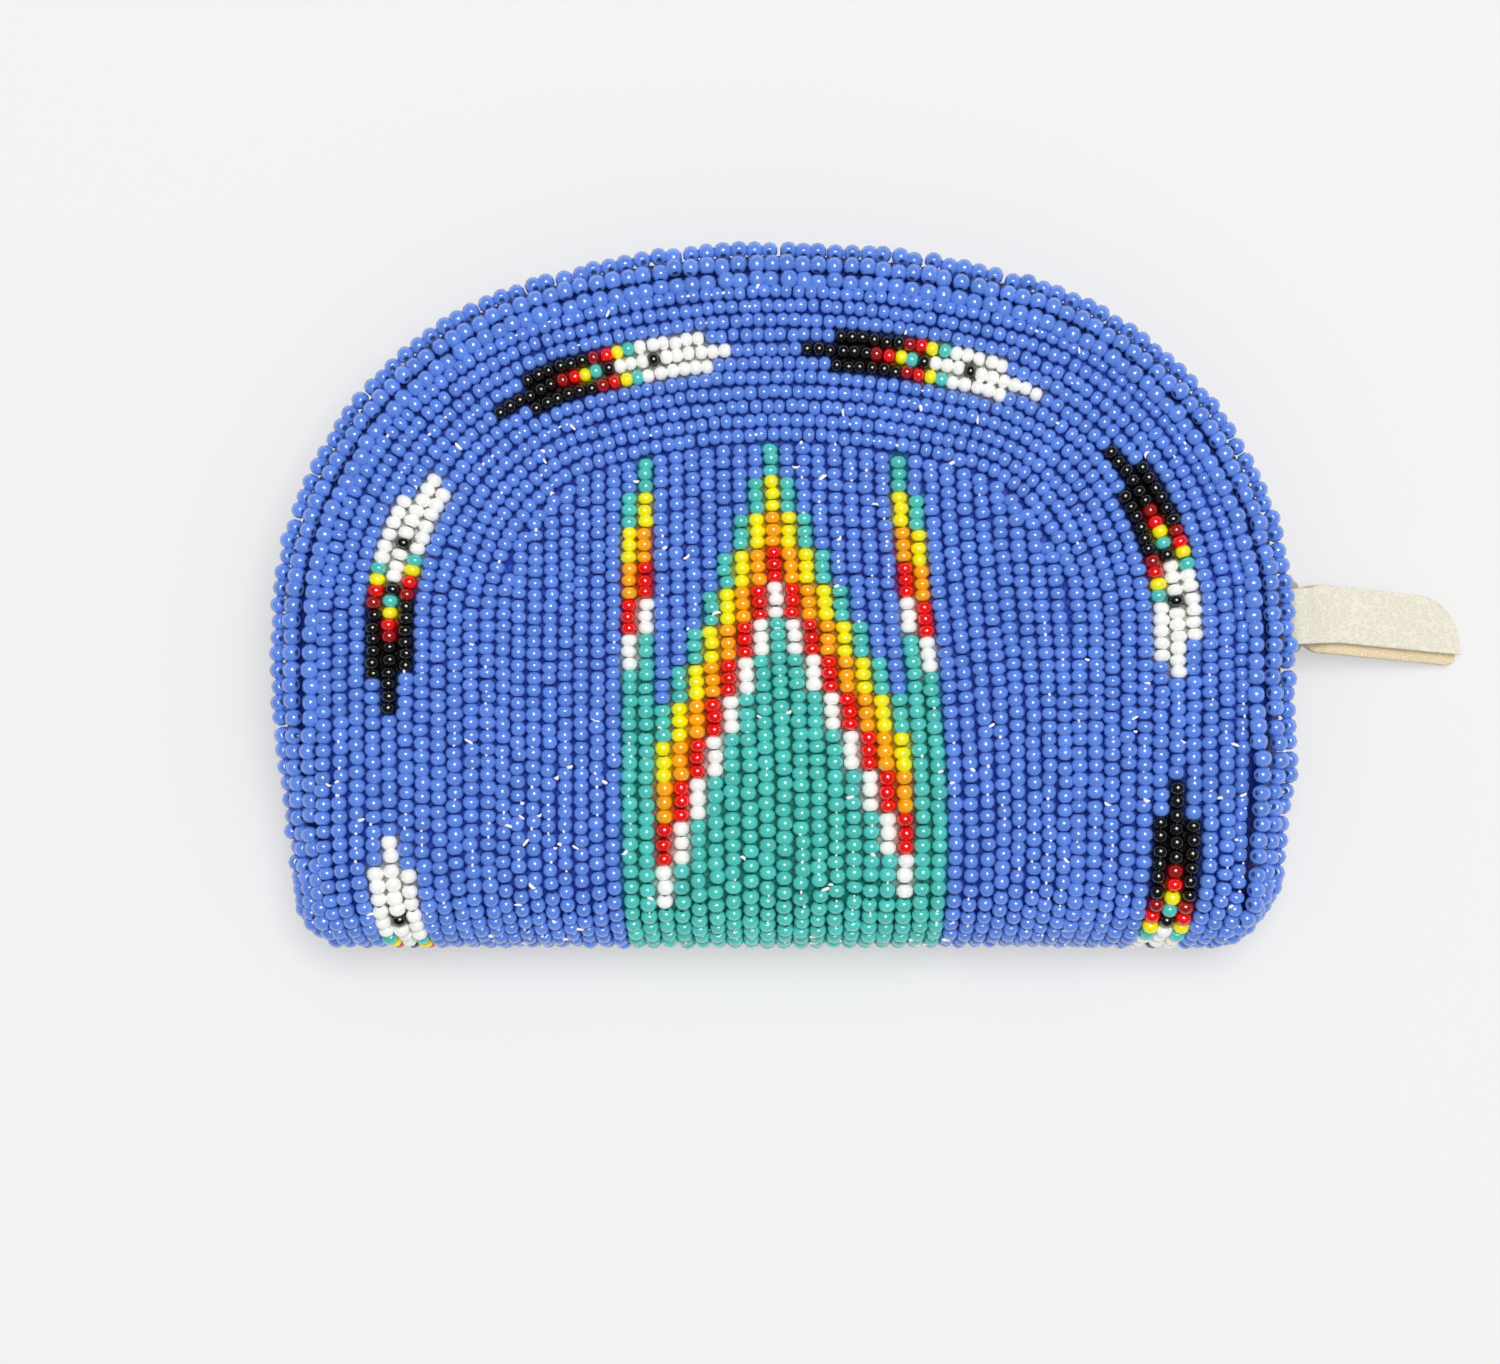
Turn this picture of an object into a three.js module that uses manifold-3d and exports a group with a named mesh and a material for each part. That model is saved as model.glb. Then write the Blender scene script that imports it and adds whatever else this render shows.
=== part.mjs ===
// Half-moon coin purse, covered all over with lanes of sewn glass seed beads and closed by a zip.
// It lies on its back: +X to the right, +Y towards the crown of the arch, +Z out of the front face.
// The origin is on the table, under the middle of the back. Millimetres.
//
// The purse is one oval sheet of leather that is beaded flat, folded in half and rolled in at its
// edge. Every layer is therefore drawn on the flat oval (u across, v along, v = 0 on the fold line,
// v > 0 on the front) and folded() carries the drawing to its place on the closed purse.
import * as THREE from "three";
import { mergeVertices } from "three/addons/utils/BufferGeometryUtils.js";
import Module from "manifold-3d";

const wasm = await Module();
wasm.setup();

// Bead lanes
const laneSpacing = 2.02;
const laneHeight = 1.8;
const valleyHeight = 0.9;
const columnCount = 35;
const archLaneCount = 11;
const edgingLaneCount = 3;
const crownPacking = 0.88;
const seamGap = 0.35;
const sideFacet = 15;
const shoulderFacet = 12;
const crownFacet = 16;

// Flat oval
const sideLength = 42;
const shoulderRadius = 45.7;
const crownLift = 2.5;

// Closed purse
const foldRadius = 7.5;
const waist = 0.05;
const waistReach = 18;
const frontBulge = 1.5;
const bulgeReach = 25;
const crownTaper = 0.8;
const backBow = 0.7;
const rollAngle = THREE.MathUtils.degToRad(75);
const mouthGap = 4.6;
const seamHalfGap = 0.5;
const foldGap = 3.5;
const mouthFoot = 36;

// Sheets under the beads
const sheetGap = 0.4;
const seatGap = 0.5;
const leatherThickness = 1.2;
const liningThickness = 0.5;
const leatherSteps = [0, 3, 8];
const liningSteps = [3, 8];

// Picture in the beadwork
const towerColumns = 2;
const mountainColumns = 15;
const bandNames = ["white", "red", "orange", "yellow", "turquoise"];
const featherLane = 4;
const featherLanes = 3;
const featherSteps = { tail: 0, tailSide: 3 / 21, band: 8 / 21, tip: 12 / 21, tipSide: 18 / 21, end: 1 };
const feathers = {
  lower_left: [-0.058, 0.06],
  left: [0.124, 0.278],
  upper_left: [0.338, 0.466],
  upper_right: [0.511, 0.632],
  right: [0.7, 0.855],
  lower_right: [0.911, 1.03],
};

// Zip
const zipInset = 4.2;
const zipFoot = 33.5;
const tapeFoot = 31;
const tapeThickness = 0.5;
const tapeReach = 5.5;
const chainDepth = 2.2;
const toothPitch = 5;
const toothLength = 2;
const toothDepth = 1.4;
const toothReach = 0.45;
const spineInner = 1.3;
const spineOuter = 1.9;
const stopLength = 1.6;

// Slider and its leather pull
const sliderTurn = THREE.MathUtils.degToRad(2.5);
const sliderLength = 13;
const sliderHalfWidth = 3.1;
const plateThickness = 1;
const runningGap = 0.35;
const postThickness = 0.3;
const postLength = 3;
const railHeight = 0.7;
const railWidth = 0.6;
const bridgeHalfLength = 4.6;
const bridgeThickness = 0.9;
const bridgeWidth = 1.6;
const bridgeTunnel = 2.05;
const pullLength = 22.9;
const pullWidth = 8;
const pullThickness = 1.1;
const pullLayerGap = 0.3;
const pullLoop = 1.25;
const pullNeck = 5.6;
const pullCorner = 6.5;
const pullSkew = 0.125;
const pullShift = 0.4;
const pullAskew = 1.4;

// Derived sizes
const halfWidth = (columnCount / 2 + archLaneCount + edgingLaneCount) * laneSpacing;
const shoulderX = halfWidth - shoulderRadius;
const crownRise = shoulderRadius + crownLift;
const panelLength = sideLength + crownRise;
const crownRadius = (crownRise ** 2 + shoulderX ** 2 - shoulderRadius ** 2) / (2 * crownLift);
const crownV = panelLength - crownRadius;
const shoulderTurn = Math.atan2(sideLength - crownV, shoulderX);
const quarterFold = (foldRadius * Math.PI) / 2;
const midHeight = laneHeight + foldRadius;
const shoulderLength = shoulderRadius * shoulderTurn;
const crownHalfLength = crownRadius * (Math.PI / 2 - shoulderTurn);
const archLength = 2 * (sideLength + shoulderLength + crownHalfLength);
const laneInset = edgingLaneCount * laneSpacing;
const archInset = laneInset + archLaneCount * laneSpacing;
const leatherOuter = -seatGap;
const leatherInner = leatherOuter - leatherThickness;
const liningOuter = leatherInner - sheetGap;
const liningInner = liningOuter - liningThickness;
const chainRadius = shoulderRadius - zipInset;
const chainSag = sliderLength ** 2 / (8 * chainRadius);
const originY = foldRadius + 0.5 * (panelLength - archInset - quarterFold);

const colours = {
  blue: 0x5a7ed3,
  turquoise: 0x46b3ab,
  white: 0xf2f1ee,
  black: 0x0d0b0d,
  red: 0xd31408,
  orange: 0xf6a405,
  yellow: 0xf0e60c,
  leather: 0xede8d5,
  lining: 0xc9c3b4,
  tape: 0x2d4f9e,
  teeth: 0x33518f,
  metal: 0xb9b9b4,
};

const smooth = (value, from, to) => THREE.MathUtils.smoothstep(value, from, to);

// Distance in from the cut edge of the flat oval, with the outward direction there
function edgeOf(u, v) {
  const au = Math.abs(u);
  const av = Math.abs(v);
  const facing = (x, y, inset) => ({ inset, nu: x * Math.sign(u), nv: y * Math.sign(v) });
  if (av <= sideLength) return facing(1, 0, halfWidth - au);
  const onShoulder = Math.atan2(av - sideLength, au - shoulderX) <= shoulderTurn;
  const du = onShoulder ? au - shoulderX : au;
  const dv = onShoulder ? av - sideLength : av - crownV;
  const reach = Math.hypot(du, dv);
  return facing(du / reach, dv / reach, (onShoulder ? shoulderRadius : crownRadius) - reach);
}

// Half the thickness of the closed purse, from the middle plane to the beads' seat
function halfThickness(v, inset) {
  if (v < 0) return foldRadius - backBow * (1 - Math.min(1, inset / archInset));
  const bulge = frontBulge * smooth(inset, 0, archInset) * smooth(v, quarterFold, quarterFold + bulgeReach);
  return foldRadius + bulge - crownTaper * smooth(v, sideLength, panelLength);
}

// Half the distance between the two edges: open at the fold's ends and along the mouth, and drawn
// together at the seams between them
function halfGap(v) {
  const atFold = (foldGap - seamHalfGap) * (1 - smooth(Math.abs(v), 0, quarterFold));
  const atMouth = (mouthGap - seamHalfGap) * smooth(Math.abs(v), quarterFold, mouthFoot);
  return seamHalfGap + atFold + atMouth;
}

// Places the point of the flat oval at (u, v), h above the beads' seat, on the closed purse
function folded(u, v, h) {
  const edge = edgeOf(u, v);
  const thickness = halfThickness(v, edge.inset);
  const gap = halfGap(v);
  const rollRadius = (thickness - gap) / (1 - Math.cos(rollAngle));
  const roll = Math.max(0, rollAngle - edge.inset / rollRadius);
  const shift = h * Math.sin(roll) - rollRadius * (roll - Math.sin(roll));
  const pu = u + shift * edge.nu;
  const pv = v + shift * edge.nv;
  const height = thickness - rollRadius * (1 - Math.cos(roll)) + h * Math.cos(roll);
  const narrowing = waist * Math.max(0, 1 - Math.abs(pv) / waistReach) ** 2;
  const turn = THREE.MathUtils.clamp(pv / foldRadius, -Math.PI / 2, Math.PI / 2);
  const run = Math.max(0, Math.abs(pv) - quarterFold);
  return new THREE.Vector3(
    pu * (1 - narrowing),
    foldRadius - height * Math.cos(turn) + run - originY,
    midHeight + height * Math.sin(turn),
  );
}

// Point of the cut edge, a share t of the way from the left end of the fold over the arch to its
// right end, with the outward direction there. Shares past 1 come back along the arch of the back.
function edgePoint(t) {
  if (t > 1) {
    const front = edgePoint(2 - t);
    return { u: front.u, v: -front.v, nu: front.nu, nv: -front.nv };
  }
  const right = t > 0.5;
  const s = archLength * (right ? 1 - t : t);
  const side = right ? 1 : -1;
  if (s <= sideLength) return { u: side * halfWidth, v: s, nu: side, nv: 0 };
  const onShoulder = s <= sideLength + shoulderLength;
  const turn = onShoulder
    ? (s - sideLength) / shoulderRadius
    : shoulderTurn + (s - sideLength - shoulderLength) / crownRadius;
  const [cu, cv, radius] = onShoulder
    ? [shoulderX, sideLength, shoulderRadius]
    : [0, crownV, crownRadius];
  const nu = Math.cos(turn);
  const nv = Math.sin(turn);
  return { u: side * (cu + radius * nu), v: cv + radius * nv, nu: side * nu, nv };
}

// Point of the flat oval a lane distance in from an edge point: lanes lie closer over the crown
function laneSpot(edge, distance) {
  const reach = distance * (1 - (1 - crownPacking) * edge.nv ** 2);
  return { u: edge.u - reach * edge.nu, v: edge.v - reach * edge.nv };
}

// Closed solid from triangles, each given by its three corners
function solidFrom(triangles) {
  const geometry = new THREE.BufferGeometry().setFromPoints(triangles.flat());
  const merged = mergeVertices(geometry, 1e-4);
  merged.computeVertexNormals();
  return merged;
}

// Adds the two triangles of the face a, b, c, d, seen anticlockwise, and leaves out empty ones
function addFace(triangles, a, b, c, d) {
  const add = (...corners) => {
    const open = corners.every((p, i) => p.distanceTo(corners[(i + 1) % 3]) > 1e-3);
    if (open) triangles.push(corners);
  };
  add(a, b, c);
  add(a, c, d);
}

// Joins neighbouring pieces of bead lanes, given as [lane, row] cells, to one ridged solid.
// spot(across, row) is the place on the flat oval; crests are the high lines across one lane.
function laneSolid(cells, spot, crests) {
  const key = (lane, row) => `${lane} ${row}`;
  const held = new Set(cells.map(([lane, row]) => key(lane, row)));
  const triangles = [];
  const point = (across, row, h) => {
    const { u, v } = spot(across, row);
    return folded(u, v, h);
  };
  for (const [lane, row] of cells) {
    const section = (at) => [
      point(lane, at, valleyHeight),
      ...crests.map((crest) => point(lane + crest, at, laneHeight)),
      point(lane + 1, at, valleyHeight),
    ];
    const near = section(row);
    const far = section(row + 1);
    const last = near.length - 1;
    const seat = [row, row + 1].map((at) => [point(lane, at, 0), point(lane + 1, at, 0)]);
    for (let i = 0; i < last; i += 1) {
      addFace(triangles, near[i], near[i + 1], far[i + 1], far[i]);
    }
    addFace(triangles, seat[0][0], seat[1][0], seat[1][1], seat[0][1]);
    if (!held.has(key(lane - 1, row))) addFace(triangles, near[0], far[0], seat[1][0], seat[0][0]);
    if (!held.has(key(lane + 1, row))) {
      addFace(triangles, near[last], seat[0][1], seat[1][1], far[last]);
    }
    const close = (tops, [a, b], flip) => {
      for (let i = 0; i < last; i += 1) {
        const corners = [a, tops[i + 1], tops[i]];
        triangles.push(flip ? corners.reverse() : corners);
      }
      triangles.push(flip ? [tops[last], b, a] : [a, b, tops[last]]);
    };
    if (!held.has(key(lane, row - 1))) close(near, seat[0], false);
    if (!held.has(key(lane, row + 1))) close(far, seat[1], true);
  }
  return solidFrom(triangles);
}

// Shares along the arch where the sheet changes its bend
const turns = [0, 1 / 3, 2 / 3, 1].map((part) => part * quarterFold);
const seamMiddle = (quarterFold + mouthFoot) / 2;
const leftBends = [...turns, seamMiddle, mouthFoot, sideLength, sideLength + shoulderLength];
const bends = [...leftBends, archLength / 2, ...leftBends.map((s) => archLength - s)].map(
  (s) => s / archLength,
);

// A mark on the arch, moved to a bend that is close by
function settled(t) {
  const near = bends.find((bend) => Math.abs(bend - t) * archLength < 1.3 * laneSpacing);
  return near ?? t;
}

// Shares along the arch at which a row of lane cells ends: the bends, the given marks and as many
// more as keep the facets short
function archRows(marks) {
  const fixed = [...bends, ...marks];
  const ends = [...new Set(fixed)].filter((t) => t >= 0 && t <= 1).sort((a, b) => a - b);
  const rows = [ends[0]];
  for (const end of ends.slice(1)) {
    const start = rows[rows.length - 1];
    const middle = edgePoint((start + end) / 2);
    const curved = THREE.MathUtils.lerp(shoulderFacet, crownFacet, middle.nv ** 6);
    const longest = middle.nv === 0 ? sideFacet : curved;
    const steps = Math.ceil(((end - start) * archLength) / longest - 0.05);
    for (let i = 1; i <= steps; i += 1) rows.push(start + ((end - start) * i) / steps);
  }
  return rows;
}

// Leather or lining: the whole oval inside its first step, folded with the beadwork
function sheetSolid(steps, outer, inner) {
  const half = archRows([]);
  const loop = [...half, ...half.slice(1, -1).map((t) => 1 + t)];
  const reaches = [...steps, archInset];
  const rim = reaches[0];
  const triangles = [];
  const at = (step, reach, h) => {
    const { u, v } = laneSpot(edgePoint(loop[step % loop.length]), reach);
    return folded(u, v, h);
  };
  const addBoth = (corner) => {
    addFace(triangles, ...[0, 1, 2, 3].map((i) => corner(i, outer)));
    addFace(triangles, ...[0, 3, 2, 1].map((i) => corner(i, inner)));
  };
  for (let step = 0; step < loop.length; step += 1) {
    for (let i = 0; i + 1 < reaches.length; i += 1) {
      const ring = [[step, i], [step, i + 1], [step + 1, i + 1], [step + 1, i]];
      addBoth((n, h) => at(ring[n][0], reaches[ring[n][1]], h));
    }
    addFace(
      triangles,
      at(step, rim, inner),
      at(step, rim, outer),
      at(step + 1, rim, outer),
      at(step + 1, rim, inner),
    );
  }
  // Rungs across the middle, from each left point of the inner loop to the right one facing it
  const rung = (t, side, h) => {
    const spot = laneSpot(edgePoint(t), archInset);
    return folded(-side * spot.u, spot.v, h);
  };
  for (let step = 0; half[step] < 0.5; step += 1) {
    const [low, high] = [half[step], half[step + 1]];
    const front = [[low, -1], [low, 1], [high, 1], [high, -1]];
    const back = [[2 - high, -1], [2 - high, 1], [2 - low, 1], [2 - low, -1]];
    addBoth((n, h) => rung(...front[n], h));
    addBoth((n, h) => rung(...back[n], h));
  }
  return solidFrom(triangles);
}

function bead(colour) {
  return new THREE.MeshStandardMaterial({ color: colours[colour], roughness: 0.3, metalness: 0 });
}

function cloth(colour) {
  return new THREE.MeshStandardMaterial({ color: colours[colour], roughness: 0.9, metalness: 0 });
}

function metal() {
  return new THREE.MeshStandardMaterial({ color: colours.metal, roughness: 0.35, metalness: 1 });
}

function named(name, geometry, material) {
  const mesh = new THREE.Mesh(geometry, material);
  mesh.name = name;
  return mesh;
}

const purse = new THREE.Group();
purse.name = "coin_purse";

purse.add(named("leather_shell", sheetSolid(leatherSteps, leatherOuter, leatherInner), cloth("leather")));
purse.add(named("lining", sheetSolid(liningSteps, liningOuter, liningInner), cloth("lining")));

// Lanes round the arch, with the feathers let into them
const featherMark = (name, step) =>
  settled(THREE.MathUtils.lerp(...feathers[name], featherSteps[step]));
const featherMarks = Object.keys(feathers).flatMap((name) =>
  Object.keys(featherSteps).map((step) => featherMark(name, step)),
);
const frontRows = archRows(featherMarks);
const backRows = archRows([]).map((t) => 1 + t);

function archCells(rows, firstLane, laneCount, holds) {
  const cells = [];
  for (let lane = firstLane; lane < firstLane + laneCount; lane += 1) {
    for (let row = 0; row + 1 < rows.length; row += 1) {
      if (holds(lane, (rows[row] + rows[row + 1]) / 2)) cells.push([lane, row]);
    }
  }
  return cells;
}

// Feather piece that a lane cell belongs to: the middle lane runs further at both ends
function featherPart(lane, t) {
  const across = lane - edgingLaneCount - featherLane + 1;
  if (across < 0 || across >= featherLanes) return "";
  const middle = across === (featherLanes - 1) / 2;
  for (const name of Object.keys(feathers)) {
    const from = featherMark(name, middle ? "tail" : "tailSide");
    const to = featherMark(name, middle ? "end" : "tipSide");
    if (t < from || t > to) continue;
    if (t < featherMark(name, "band")) return `${name}_feather_tail`;
    return t < featherMark(name, "tip") ? `${name}_feather_band` : `${name}_feather_tip`;
  }
  return "";
}

function archSolid(rows, cells) {
  const spot = (across, row) => laneSpot(edgePoint(rows[row]), across * laneSpacing);
  return laneSolid(cells, spot, [0.5]);
}

for (const [face, rows] of Object.entries({ front: frontRows, back: backRows })) {
  const edging = archCells(rows, 0, edgingLaneCount, () => true);
  const plain = (lane, t) => face === "back" || featherPart(lane, t) === "";
  const lanes = archCells(rows, edgingLaneCount, archLaneCount, plain);
  purse.add(named(`${face}_edging`, archSolid(rows, edging), bead("blue")));
  purse.add(named(`${face}_arch_lanes`, archSolid(rows, lanes), bead("blue")));
}

const featherColours = { tail: "black", band: "red", tip: "white" };
for (const name of Object.keys(feathers)) {
  for (const [piece, colour] of Object.entries(featherColours)) {
    const node = `${name}_feather_${piece}`;
    const holds = (lane, t) => featherPart(lane, t) === node;
    const cells = archCells(frontRows, edgingLaneCount, archLaneCount, holds);
    if (cells.length > 0) purse.add(named(node, archSolid(frontRows, cells), bead(colour)));
  }
}

// Upright columns inside the arch
const innerArch = archRows([])
  .map((t) => laneSpot(edgePoint(t), archInset))
  .filter((spot) => spot.v >= sideLength - 1e-6);

// Height of the arch lanes' inner edge over a place across
function archHeight(u) {
  const next = Math.max(1, innerArch.findIndex((spot) => spot.u >= u - 1e-6));
  const [a, b] = [innerArch[next - 1], innerArch[next]];
  const share = THREE.MathUtils.clamp((u - a.u) / (b.u - a.u), 0, 1);
  return THREE.MathUtils.lerp(a.v, b.v, share) - seamGap;
}

const foldRows = [0, 1 / 3, 2 / 3, 1].map((part) => part * quarterFold);
const peakV = archHeight(0) - laneSpacing / 2;
const bandFoot = quarterFold + laneSpacing / 2;
const bandHeight = (peakV - bandFoot) / (mountainColumns / 2 + bandNames.length);

// Ends of the rows of cells on the line at u, from the fold upwards
function sideRows(u) {
  return [...foldRows, (quarterFold + archHeight(u)) / 2, archHeight(u)];
}

function backRowsAt(u) {
  return [...foldRows, archHeight(u)];
}

function mountainRows(u) {
  const ridge = peakV - (bandHeight * Math.abs(u)) / laneSpacing;
  const bands = bandNames.map((_, i) => ridge - bandHeight * (bandNames.length - i));
  return [...foldRows, (quarterFold + bands[0]) / 2, ...bands, ridge, archHeight(u)];
}

function columnSolid(first, count, rowsAt, fromRow, toRow, crests, side) {
  const cells = [];
  for (let lane = first; lane < first + count; lane += 1) {
    for (let row = fromRow; row < toRow; row += 1) cells.push([lane, row]);
  }
  const spot = (across, row) => {
    const inset = across === first ? seamGap / 2 : across === first + count ? -seamGap / 2 : 0;
    const u = side * ((across - columnCount / 2) * laneSpacing + inset);
    return { u, v: side * rowsAt(u)[row] };
  };
  return laneSolid(cells, spot, crests);
}

const sideColumns = (columnCount - mountainColumns) / 2 - towerColumns;
const columnBlocks = {
  left_columns: [0, sideColumns, "blue"],
  left_tower: [sideColumns, towerColumns, "turquoise"],
  right_tower: [sideColumns + towerColumns + mountainColumns, towerColumns, "turquoise"],
  right_columns: [columnCount - sideColumns, sideColumns, "blue"],
};
for (const [name, [first, count, colour]] of Object.entries(columnBlocks)) {
  const solid = columnSolid(first, count, sideRows, 0, foldRows.length + 1, [0.5], 1);
  purse.add(named(`front_${name}`, solid, bead(colour)));
}

const mountainFirst = sideColumns + towerColumns;
const fieldRows = foldRows.length + 1;
const mountainParts = {
  turquoise_field: [0, fieldRows, "turquoise"],
  ...Object.fromEntries(
    bandNames.map((colour, i) => [`${colour}_band`, [fieldRows + i, fieldRows + i + 1, colour]]),
  ),
  upper_columns: [fieldRows + bandNames.length, fieldRows + bandNames.length + 1, "blue"],
};
for (const [name, [from, to, colour]] of Object.entries(mountainParts)) {
  const solid = columnSolid(mountainFirst, mountainColumns, mountainRows, from, to, [0.5], 1);
  purse.add(named(name, solid, bead(colour)));
}

// The middle columns of the back have flat crests, because the purse rests on them
const flatCrests = [0.25, 0.75];
const backBlocks = {
  back_left_columns: [columnCount - sideColumns, sideColumns, "blue", [0.5]],
  back_turquoise_columns: [sideColumns, columnCount - 2 * sideColumns, "turquoise", flatCrests],
  back_right_columns: [0, sideColumns, "blue", [0.5]],
};
for (const [name, [first, count, colour, crests]] of Object.entries(backBlocks)) {
  const solid = columnSolid(first, count, backRowsAt, 0, foldRows.length, crests, -1);
  purse.add(named(name, solid, bead(colour)));
}

// Zip: place on the middle plane of the mouth, in from the edge point at t, z towards the front
function zipPoint(t, inset, z) {
  const edge = edgePoint(t);
  const u = edge.u - inset * edge.nu;
  const v = edge.v - inset * edge.nv;
  return new THREE.Vector3(u, foldRadius + v - quarterFold - originY, midHeight + z);
}

// Closed solid along the arch from one foot to the other; section holds [inset, z] corners
function zipStrip(foot, section, side) {
  const start = foot / archLength;
  const rows = [start, ...archRows([]).filter((t) => t > start && t < 1 - start), 1 - start];
  const corners = side > 0 ? section : [...section].reverse();
  const rings = rows.map((t) => corners.map(([inset, z]) => zipPoint(t, inset, side * z)));
  const triangles = [];
  for (let row = 0; row + 1 < rings.length; row += 1) {
    corners.forEach((_, i) => {
      const j = (i + 1) % corners.length;
      addFace(triangles, rings[row][i], rings[row + 1][i], rings[row + 1][j], rings[row][j]);
    });
  }
  const outline = corners.map(([inset, z]) => new THREE.Vector2(inset, side * z));
  for (const face of THREE.ShapeUtils.triangulateShape(outline, [])) {
    triangles.push(face.map((i) => rings[0][i]));
    triangles.push(face.map((i) => rings[rings.length - 1][i]).reverse());
  }
  return solidFrom(triangles);
}

function manifold(geometry) {
  const bare = geometry.clone();
  for (const name of Object.keys(bare.attributes)) {
    if (name !== "position") bare.deleteAttribute(name);
  }
  const merged = mergeVertices(bare, 1e-4);
  const triVerts = new Uint32Array(merged.index.array);
  const vertProperties = merged.attributes.position.array;
  return new wasm.Manifold(new wasm.Mesh({ numProp: 3, vertProperties, triVerts }));
}

function geometryOf(solid) {
  const { vertProperties, triVerts } = solid.getMesh();
  const geometry = new THREE.BufferGeometry();
  geometry.setAttribute("position", new THREE.BufferAttribute(vertProperties, 3));
  geometry.setIndex(new THREE.BufferAttribute(triVerts, 1));
  geometry.computeVertexNormals();
  return geometry;
}

function fused(pieces) {
  return geometryOf(pieces.map(manifold).reduce((whole, piece) => whole.add(piece)));
}

function box(x0, x1, y0, y1, z0, z1) {
  const geometry = new THREE.BoxGeometry(x1 - x0, y1 - y0, z1 - z0);
  return geometry.translate((x0 + x1) / 2, (y0 + y1) / 2, (z0 + z1) / 2);
}

// Block standing on the chain line at t, square to it
function chainBlock(t, depth, length, z0, z1) {
  const edge = edgePoint(t);
  const block = box(-depth / 2, depth / 2, -length / 2, length / 2, z0, z1);
  const spot = zipPoint(t, zipInset, 0);
  return block.rotateZ(Math.atan2(edge.nv, edge.nu)).translate(spot.x, spot.y, spot.z);
}

const tapeEdge = spineOuter + sheetGap;
const tapeFold = mouthGap - 1.5;
const tapeSection = [
  [zipInset - tapeThickness / 2, tapeEdge],
  [zipInset + tapeThickness / 2, tapeEdge],
  [zipInset + tapeThickness / 2, tapeFold],
  [zipInset + tapeReach, tapeFold + tapeThickness],
  [zipInset + tapeReach, tapeFold + 2 * tapeThickness],
  [zipInset - tapeThickness / 2, tapeFold + tapeThickness],
];
const spineSection = [
  [zipInset - chainDepth / 2, spineInner],
  [zipInset + chainDepth / 2, spineInner],
  [zipInset + chainDepth / 2, spineOuter],
  [zipInset - chainDepth / 2, spineOuter],
];
const zipRun = archLength - 2 * zipFoot;
const toothCount = Math.floor(zipRun / toothPitch - 0.5);
const toothRoot = (spineInner + spineOuter) / 2;
const stopInset = zipFoot - sheetGap - stopLength / 2;

for (const [face, side] of Object.entries({ front: 1, back: -1 })) {
  const tape = zipStrip(tapeFoot, tapeSection, side);
  purse.add(named(`zip_tape_${face}`, tape, cloth("tape")));
  const [z0, z1] = [side * toothReach, side * toothRoot].sort((a, b) => a - b);
  const teeth = [];
  for (let i = 0; i < toothCount; i += 1) {
    const shift = (toothPitch * (1 + side * 0.5)) / 2;
    const s = zipFoot + shift + i * toothPitch;
    teeth.push(chainBlock(s / archLength, toothDepth, toothLength, z0, z1));
  }
  const chain = fused([zipStrip(zipFoot, spineSection, side), ...teeth]);
  purse.add(named(`zip_teeth_${face}`, chain, cloth("teeth")));
  const ends = [side * toothReach, side * spineOuter].sort((a, b) => a - b);
  const stop = chainBlock(1 - stopInset / archLength, chainDepth, stopLength, ...ends);
  purse.add(named(`top_stop_${face}`, stop, metal()));
}
const bottomEnds = [-spineOuter, spineOuter];
const bottomStop = chainBlock(stopInset / archLength, chainDepth, stopLength, ...bottomEnds);
purse.add(named("bottom_stop", bottomStop, metal()));

// Slider: x outwards from the centre of the right shoulder, y along the chain, z to the front
const outerFace = chainRadius + chainDepth / 2 + runningGap;
const innerFace = chainRadius - chainDepth / 2 - runningGap - chainSag;
const plateTop = outerFace + plateThickness;
const bridgeBar = plateTop + bridgeTunnel + bridgeThickness / 2;

// Plate with its wide shoulders towards the stops, from x0 outwards
function sliderPlate(x0, halfWide) {
  const half = sliderLength / 2;
  const narrow = halfWide - railWidth;
  const shape = new THREE.Shape();
  shape.moveTo(-half, -halfWide + 1);
  shape.lineTo(-half, halfWide - 1);
  shape.lineTo(-half + 1, halfWide);
  shape.lineTo(half - 4, halfWide);
  shape.lineTo(half - 1, narrow);
  shape.lineTo(half, narrow - 1);
  shape.lineTo(half, 1 - narrow);
  shape.lineTo(half - 1, -narrow);
  shape.lineTo(half - 4, -halfWide);
  shape.lineTo(-half + 1, -halfWide);
  const plate = new THREE.ExtrudeGeometry(shape, { depth: plateThickness, bevelEnabled: false });
  const axes = new THREE.Matrix4().makeBasis(
    new THREE.Vector3(0, 1, 0),
    new THREE.Vector3(0, 0, 1),
    new THREE.Vector3(1, 0, 0),
  );
  return plate.applyMatrix4(axes).translate(x0, 0, 0);
}

// Bridge over the outer plate, which the pull is looped round
function sliderBridge() {
  const [out, inn] = [bridgeHalfLength, bridgeHalfLength - bridgeThickness];
  const rise = bridgeTunnel + bridgeThickness;
  const shape = new THREE.Shape();
  shape.moveTo(-0.5, -out);
  shape.lineTo(rise - 1.2, -out);
  shape.quadraticCurveTo(rise, -out, rise, 1.2 - out);
  shape.lineTo(rise, out - 1.2);
  shape.quadraticCurveTo(rise, out, rise - 1.2, out);
  shape.lineTo(-0.5, out);
  shape.lineTo(-0.5, inn);
  shape.lineTo(bridgeTunnel, inn);
  shape.lineTo(bridgeTunnel, -inn);
  shape.lineTo(-0.5, -inn);
  const options = { depth: bridgeWidth, bevelEnabled: false, curveSegments: 4 };
  return new THREE.ExtrudeGeometry(shape, options).translate(plateTop, 0, -bridgeWidth / 2);
}

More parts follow.
